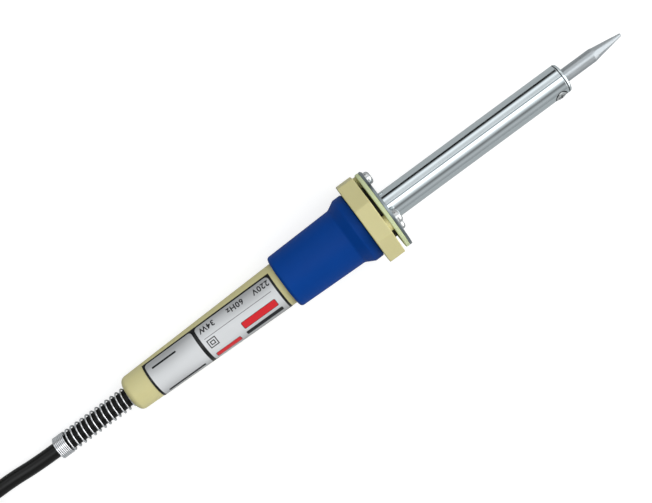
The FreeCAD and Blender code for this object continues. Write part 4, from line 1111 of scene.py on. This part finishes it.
class IRON_OT_shield(bpy.types.Operator):
    """Make the spacer, the insulating washer, the steel shield and the screws' washers"""
    bl_idname = "iron.shield"
    bl_label = "Heat shield"

    def execute(self, context):
        s, screws = sizes("shield"), sizes("screws")
        front, floor = s.gap + s.washer, s.gap + s.washer - s.recess_depth
        pieces = {
            "Hub_spacer": ([(0.0, s.bore), (0.0, s.hub), (s.gap, s.hub), (s.gap, s.bore)],
                           "spacer_black", "hub_spacer"),
            "Insulating_washer": ([(s.gap, s.bore), (s.gap, s.radius, s.rim),
                                   (front, s.radius, s.rim), (front, s.recess),
                                   (floor, s.recess), (floor, s.bore)],
                                  "washer_ivory", "insulating_washer"),
            "Shield_plate": ([(front, s.plate_bore, 0.1 * MM), (front, s.radius, 0.12 * MM),
                              (front + s.plate, s.radius, 0.2 * MM),
                              (front + s.plate, s.plate_bore, 0.2 * MM)],
                             "shield_steel", "heat_shield_plate"),
        }
        finishes = {
            "Hub_spacer": moulded("Spacer board", (0.012, 0.012, 0.006), 0.6, spread=0.3),
            "Insulating_washer": moulded("Ivory washer", tuple(s.ivory), 0.55, spread=0.16,
                                         tint=(1.0, 0.99, 0.86), grain=5200.0, mottle=1500.0,
                                         strength=0.35, depth=0.00006,
                                         Specular_IOR_Level=0.3),
            "Shield_plate": turned_metal("Shield steel", tuple(s.steel), 0.3, spread=0.35,
                                         rings=2600.0, strength=0.4, depth=0.00004),
        }
        for name, (corners, slot, node) in pieces.items():
            paint(new_piece(name, [turned(rounded(corners), 128)], "iron", [node]),
                  finishes[name])
        seat, top = front + s.plate, front + s.plate + screws.washer_thick
        flat = rounded([(seat, screws.washer_hole), (seat, screws.flat_washer, 0.08 * MM),
                        (top, screws.flat_washer, 0.14 * MM),
                        (top, screws.washer_hole, 0.08 * MM)])
        shells = [turned(flat, 48, place) for place in screw_places(screws)]
        paint(new_piece("Flat_washers", shells, "iron", ["shield_screw_washers"]),
              turned_metal("Washer steel", tuple(screws.plating), 0.22, rings=900.0))
        return {"FINISHED"}


class IRON_OT_screws(bpy.types.Operator):
    """Finish the bit screw and the three shield screws, whose CAD shapes stay"""
    bl_idname = "iron.screws"
    bl_label = "Screws"

    def execute(self, context):
        s = sizes("screws")
        plated = turned_metal("Screw plating", tuple(s.plating), 0.2, spread=0.1, rings=1500.0,
                              strength=0.2)
        dress("tip_screw", plated)
        dress("shield_screws", plated)
        return {"FINISHED"}


class IRON_OT_handle(bpy.types.Operator):
    """Mould the tapered handle with its octagonal guard and three bosses"""
    bl_idname = "iron.handle"
    bl_label = "Handle and guard"

    def execute(self, context):
        """Rings from the guard's face round to the mouth again.

        A guard ring stands off the axis by a / cos(w) on the flats, w from the nearest
        flat's middle, and on a corner of radius c by D cos(t) + sqrt(c^2 - D^2 sin^2(t)),
        t from the corner's middle, with D the distance of the corner's own centre.
        """
        s = sizes("handle")
        screws, shield = sizes("screws"), sizes("shield")
        apothem, c = s.flats / 2, s.corner
        split = math.atan((apothem - c) * math.tan(math.pi / 8) / apothem)
        sector = np.concatenate([np.linspace(-split, split, 9),
                                 np.linspace(split, math.pi / 4 - split, 6)[1:-1]])
        roll = (np.arange(8)[:, None] * math.pi / 4 + sector).ravel()
        off = np.abs((roll + math.pi / 8) % (math.pi / 4) - math.pi / 8)

        def octagon(inset):
            a, corner = apothem - inset, max(c - inset, 0.1 * MM)
            far = (a - corner) / math.cos(math.pi / 8)
            t = math.pi / 8 - off
            arc = far * np.cos(t) + np.sqrt(np.maximum(corner ** 2 - (far * np.sin(t)) ** 2, 0))
            limit = math.atan((a - corner) * math.tan(math.pi / 8) / a)
            return np.where(off <= limit + 1e-9, a / np.cos(off), arc)

        def rings(outline):
            return [(x, np.full(len(roll), r)) for x, r in outline]

        rim, thick = s.guard_round, s.guard
        bow = np.linspace(0, math.pi / 2, 6)
        front_rim = [(-rim * (1 - math.cos(b)), octagon(rim * (1 - math.sin(b)))) for b in bow]
        rear_rim = [(-thick + rim * (1 - math.sin(b)), octagon(rim * (1 - math.cos(b))))
                    for b in bow]
        edge, seat = 0.15 * MM, -s.length + s.seat
        face = 13.6 * MM  # a ring that keeps the guard's face flat in the light
        rows = rings([(0.0, s.mouth), (0.0, face)])
        rows += [(0.0, octagon(rim + edge))] + front_rim + [(-rim - edge, octagon(0.0))]
        rows += [(-thick + rim + edge, octagon(0.0))] + rear_rim
        rows += [(-thick, octagon(rim + edge))]
        # the fillet where the guard's rear face meets the tapered handle is under the grip
        rows += rings([(-thick, s.front)])
        rows += rings(rounded([(-thick, s.front), (-s.length, s.rear, s.rear_round),
                               (-s.length, s.outlet, 0.25 * MM), (seat, s.outlet)],
                              closed=False, steps=9)[1:])
        rows += rings([(seat, s.passage), (seat + s.stop, s.passage), (seat + s.stop, s.hollow),
                       (-s.mouth_depth, s.hollow), (-s.mouth_depth, s.mouth)])
        along = np.array([row[0] for row in rows])[:, None]
        reach = np.array([row[1] for row in rows])
        body = shell(rolled(along + 0 * roll, reach, roll + 0 * along), closed=True)
        root = -0.3 * MM
        boss = rounded([(root, s.boss), (shield.gap, s.boss, 0.12 * MM),
                        (shield.gap, screws.boss_hole), (root, screws.boss_hole)])
        bosses = [turned(boss, 48, place) for place in screw_places(screws)]
        piece = new_piece("Handle", [body] + bosses, "iron", ["handle_body"],
                          sharp=24.0)
        paint(piece, moulded("Handle cream", tuple(s.cream), 0.4, spread=0.05,
                             tint=(0.99, 0.985, 0.93), grain=7200.0, mottle=120.0,
                             strength=0.1, depth=0.00003, marks=0.2, Specular_IOR_Level=0.25,
                             Subsurface_Weight=0.06, Subsurface_Scale=0.002,
                             Subsurface_Radius=(1.0, 0.8, 0.4)))
        return {"FINISHED"}


class IRON_OT_grip(bpy.types.Operator):
    """Mould the soft blue grip with its flared collar"""
    bl_idname = "iron.grip"
    bl_label = "Grip"

    def execute(self, context):
        s, handle = sizes("grip"), sizes("handle")
        fit = 0.05 * MM
        front = handle.guard + fit
        corners = [(-s.rear, handle_radius(handle, s.rear) + fit, 0.2 * MM),
                   (-front, handle_radius(handle, front) + fit),
                   (-front, s.front_radius, 0.7 * MM),
                   (-s.waist + s.flare, s.front_radius, 0.7 * MM),
                   (-s.waist, s.waist_radius, 2.0 * MM), (-s.rear, s.rear_radius, 1.2 * MM)]
        piece = new_piece("Grip", [turned(rounded(corners, steps=9), 128)], "iron",
                          ["grip_sleeve"])
        paint(piece, moulded("Grip blue", tuple(s.blue), 0.5, spread=0.07,
                             tint=(1.0, 0.95, 0.93), grain=6400.0, mottle=150.0, strength=0.22,
                             depth=0.00005, marks=0.25, Specular_IOR_Level=0.1))
        return {"FINISHED"}


class IRON_OT_label(bpy.types.Operator):
    """Stick the foil label on the handle, with its ratings"""
    bl_idname = "iron.label"
    bl_label = "Label"

    def surface(self, s, handle, along, across, lift):
        """Point on the label: radius of the tapered handle plus lift, roll = across / radius."""
        radius = handle_radius(handle, s.rear - along)
        return rolled(along - s.rear, radius + lift, s.roll + across / radius)

    def execute(self, context):
        s, handle = sizes("label"), sizes("handle")
        rows, columns = 40, 28
        u = np.linspace(0, 1, rows)[:, None]
        v = np.linspace(0, 1, columns)[None]
        skin = [self.surface(s, handle, u * s.length + 0 * v, (v - 0.5) * s.width + 0 * u, lift)
                for lift in (s.gap + s.thickness, s.gap)]
        index = np.arange(rows * columns).reshape(rows, columns)
        under = index + rows * columns
        faces = [np.stack([index[:-1, :-1], index[1:, :-1], index[1:, 1:], index[:-1, 1:]], -1),
                 np.stack([under[:-1, :-1], under[:-1, 1:], under[1:, 1:], under[1:, :-1]], -1)]
        rim = np.concatenate([index[:-1, 0], index[-1, :-1], index[:0:-1, -1], index[0, :0:-1]])
        below = rim + rows * columns
        faces.append(np.stack([np.roll(rim, -1), rim, below, np.roll(below, -1)], -1))
        vertices = np.concatenate([part.reshape(-1, 3) for part in skin])
        quads = np.concatenate([part.reshape(-1, 4) for part in faces])
        if flip_needed(vertices, quads, np.zeros((0, 3), int)):
            quads = quads[:, ::-1]
        piece = new_piece("Label", [(vertices, quads, np.zeros((0, 3), int))], "iron",
                          ["rating_label"])
        flat = np.stack([(u + 0 * v).ravel(), (1 - v + 0 * u).ravel()], -1)
        flat = np.concatenate([flat, flat])
        layer = piece.data.uv_layers.new(name="print")
        corner = np.zeros(len(piece.data.loops), int)
        piece.data.loops.foreach_get("vertex_index", corner)
        layer.data.foreach_set("uv", flat[corner].ravel())
        paint(piece, label_finish("Label foil", tuple(s.silver), tuple(s.red), s.width / MM,
                                  s.length / MM))
        self.ratings(context, s, handle)
        return {"FINISHED"}

    def ratings(self, context, s, handle):
        """Ratings as thin raised ink, upside down along the label's upper edge.

        Each letter's flat outline (x, y) in mm goes to the label at along = start - x from
        its rear edge and across = baseline + y from its upper edge, a little above the foil.
        """
        starts, baseline, height = (52.6, 41.9, 29.6), 2.0, 2.9
        vertices, faces, base = [], [], 0
        for word, start in zip(s.ratings.split(), starts):
            text = bpy.data.curves.new("Rating", "FONT")
            text.body, text.size, text.resolution_u = word, height, 4
            text.offset, text.space_character = 0.07, 1.12
            carrier = bpy.data.objects.new("Rating", text)
            mesh = bpy.data.meshes.new_from_object(carrier)
            work = bmesh.new()
            work.from_mesh(mesh)
            bmesh.ops.remove_doubles(work, verts=work.verts, dist=1e-4)
            bmesh.ops.subdivide_edges(work, edges=[e for e in work.edges if e.calc_length() > 0.9],
                                      cuts=1)
            bmesh.ops.triangulate(work, faces=work.faces)
            work.to_mesh(mesh)
            work.free()
            flat, triangles = arrays_of(mesh, 3)
            bpy.data.objects.remove(carrier)
            bpy.data.curves.remove(text)
            bpy.data.meshes.remove(mesh)
            along, across = (start - flat[:, 0]) * MM, (baseline + flat[:, 1]) * MM - s.width / 2
            vertices.append(self.surface(s, handle, along, across, s.gap + s.thickness + 0.01 * MM))
            faces.append(triangles + base)
            base += len(flat)
        vertices, faces = np.vstack(vertices), np.vstack(faces)
        corners = [vertices[faces[:, k]] for k in range(3)]
        facing = np.cross(corners[1] - corners[0], corners[2] - corners[0])
        outward = corners[0] - (GUARD_FACE + ((corners[0] - GUARD_FACE) @ AXIS)[:, None] * AXIS)
        wrong = np.einsum("ij,ij->i", facing, outward) < 0
        faces[wrong] = faces[wrong][:, ::-1]
        piece = new_piece("Label_ratings", [(vertices, np.zeros((0, 4), int), faces)], "iron")
        solid = piece.modifiers.new("Ink thickness", "SOLIDIFY")
        solid.thickness, solid.offset = 0.02 * MM, 1.0
        paint(piece, moulded("Label ink", (0.007, 0.007, 0.008), 0.45, spread=0.2))


class IRON_OT_spring(bpy.types.Operator):
    """Wind the wire spring round its sleeve where the cord leaves the handle"""
    bl_idname = "iron.spring"
    bl_label = "Spring and sleeve"

    def execute(self, context):
        """Helix whose pitch eases from close to open and back.

        Pitch = close + opened x (open - close), and the place along is its running sum; the
        wire's centre is at side = -R sin(2 pi t), up = -R cos(2 pi t).
        """
        s, handle = sizes("spring"), sizes("handle")
        seated = s.end - handle.length + handle.seat
        spare = seated - 2 * s.wire - (s.tail_turns + s.seated_turns) * s.close
        total = s.tail_turns + s.seated_turns + spare / s.pitch
        steps_per_turn = 28
        count = round(total * steps_per_turn)
        turn = np.linspace(0, total, count + 1)

        def smooth(t):
            return np.clip(t, 0, 1) ** 2 * (3 - 2 * np.clip(t, 0, 1))

        opened = np.minimum(smooth((turn - s.tail_turns) / 0.75 + 0.5),
                            smooth((total - s.seated_turns - turn) / 0.75 + 0.5))
        pitch = s.close + opened * (s.pitch - s.close)
        along = -s.end + s.wire + np.concatenate([[0], np.cumsum(pitch[:-1])]) * total / count
        swing = 2 * math.pi * turn
        path = on_iron(along, -s.coil * np.sin(swing), -s.coil * np.cos(swing))
        out = -np.sin(swing)[:, None] * SIDE - np.cos(swing)[:, None] * TOP
        ahead = np.gradient(path, axis=0)
        ahead /= np.linalg.norm(ahead, axis=1)[:, None]
        piece = new_piece("Spring", [swept(path, out, np.cross(ahead, out), s.wire, 14)], "iron",
                          ["strain_relief_spring"], sharp=60.0)
        paint(piece, turned_metal("Spring wire", tuple(s.steel), 0.14, spread=0.08,
                                  rings=2400.0, strength=0.1))
        dress("cord_sleeve", moulded("Sleeve rubber", (0.004, 0.004, 0.004), 0.4, spread=0.3,
                                     grain=5200.0, mottle=500.0, strength=0.2,
                                     Specular_IOR_Level=0.2))
        return {"FINISHED"}


class IRON_OT_inside(bpy.types.Operator):
    """Finish the heater, the wiring and the cord's end inside the handle"""
    bl_idname = "iron.inside"
    bl_label = "Inner pieces"

    def execute(self, context):
        steel = (0.5, 0.5, 0.49)
        finishes = {
            "cord_ferrule": turned_metal("Ferrule steel", steel, 0.35),
            "element_former": drawn_metal("Former steel", steel, 0.4, tarnish=0.5),
            "element_winding": drawn_metal("Heater alloy", (0.32, 0.29, 0.26), 0.45, tarnish=0.6),
            "mica_sleeve": moulded("Mica wrap", (0.42, 0.34, 0.2), 0.3, spread=0.3,
                                   tint=(1.0, 0.9, 0.75), mottle=700.0, Coat_Weight=0.3),
            "rear_insulator": moulded("Fired ceramic", (0.75, 0.73, 0.68), 0.55, spread=0.06,
                                      strength=0.3),
            "lead_wires": drawn_metal("Nickel leads", (0.6, 0.58, 0.54), 0.3, tarnish=0.2),
            "lead_sleeving": moulded("Glass sleeving", (0.7, 0.69, 0.62), 0.7, spread=0.18,
                                     grain=3800.0, strength=0.8, depth=0.0001),
            "crimp_connectors": drawn_metal("Tinned crimps", (0.66, 0.6, 0.52), 0.35,
                                            tarnish=0.2),
            "splice_caps": moulded("Splice caps", (0.62, 0.6, 0.52), 0.3, spread=0.08),
            "core_brown": moulded("Brown core", (0.12, 0.05, 0.02), 0.45, spread=0.12),
            "core_blue": moulded("Blue core", (0.02, 0.08, 0.3), 0.45, spread=0.12),
        }
        for node, material in finishes.items():
            dress(node, material)
        return {"FINISHED"}


class IRON_PT_panel(bpy.types.Panel):
    """Lists the pieces and their sizes in the sidebar"""
    bl_idname = "IRON_PT_panel"
    bl_label = "Soldering Iron"
    bl_space_type = "VIEW_3D"
    bl_region_type = "UI"
    bl_category = "Soldering Iron"

    def draw(self, context):
        layout = self.layout
        for operator in OPERATORS:
            layout.operator(operator.bl_idname)
        for name, kind in SIZE_GROUPS.items():
            box = layout.box()
            box.label(text=name.capitalize())
            for title in kind.__annotations__:
                box.prop(getattr(context.scene.iron_sizes, name), title)


OPERATORS = (IRON_OT_groups, IRON_OT_stage, IRON_OT_cord, IRON_OT_bit, IRON_OT_barrel,
             IRON_OT_shield, IRON_OT_screws, IRON_OT_handle, IRON_OT_grip, IRON_OT_label,
             IRON_OT_spring, IRON_OT_inside)
CLASSES = (*SIZE_GROUPS.values(), IronSizes, *OPERATORS, IRON_PT_panel)


def register():
    for kind in CLASSES:
        bpy.utils.register_class(kind)
    bpy.types.Scene.iron_sizes = PointerProperty(type=IronSizes)


def unregister():
    del bpy.types.Scene.iron_sizes
    for kind in reversed(CLASSES):
        bpy.utils.unregister_class(kind)


def main():
    register()
    for operator in OPERATORS:
        group, name = operator.bl_idname.split(".")
        getattr(getattr(bpy.ops, group), name)()
    bpy.context.view_layer.update()


if __name__ == "__main__":
    main()
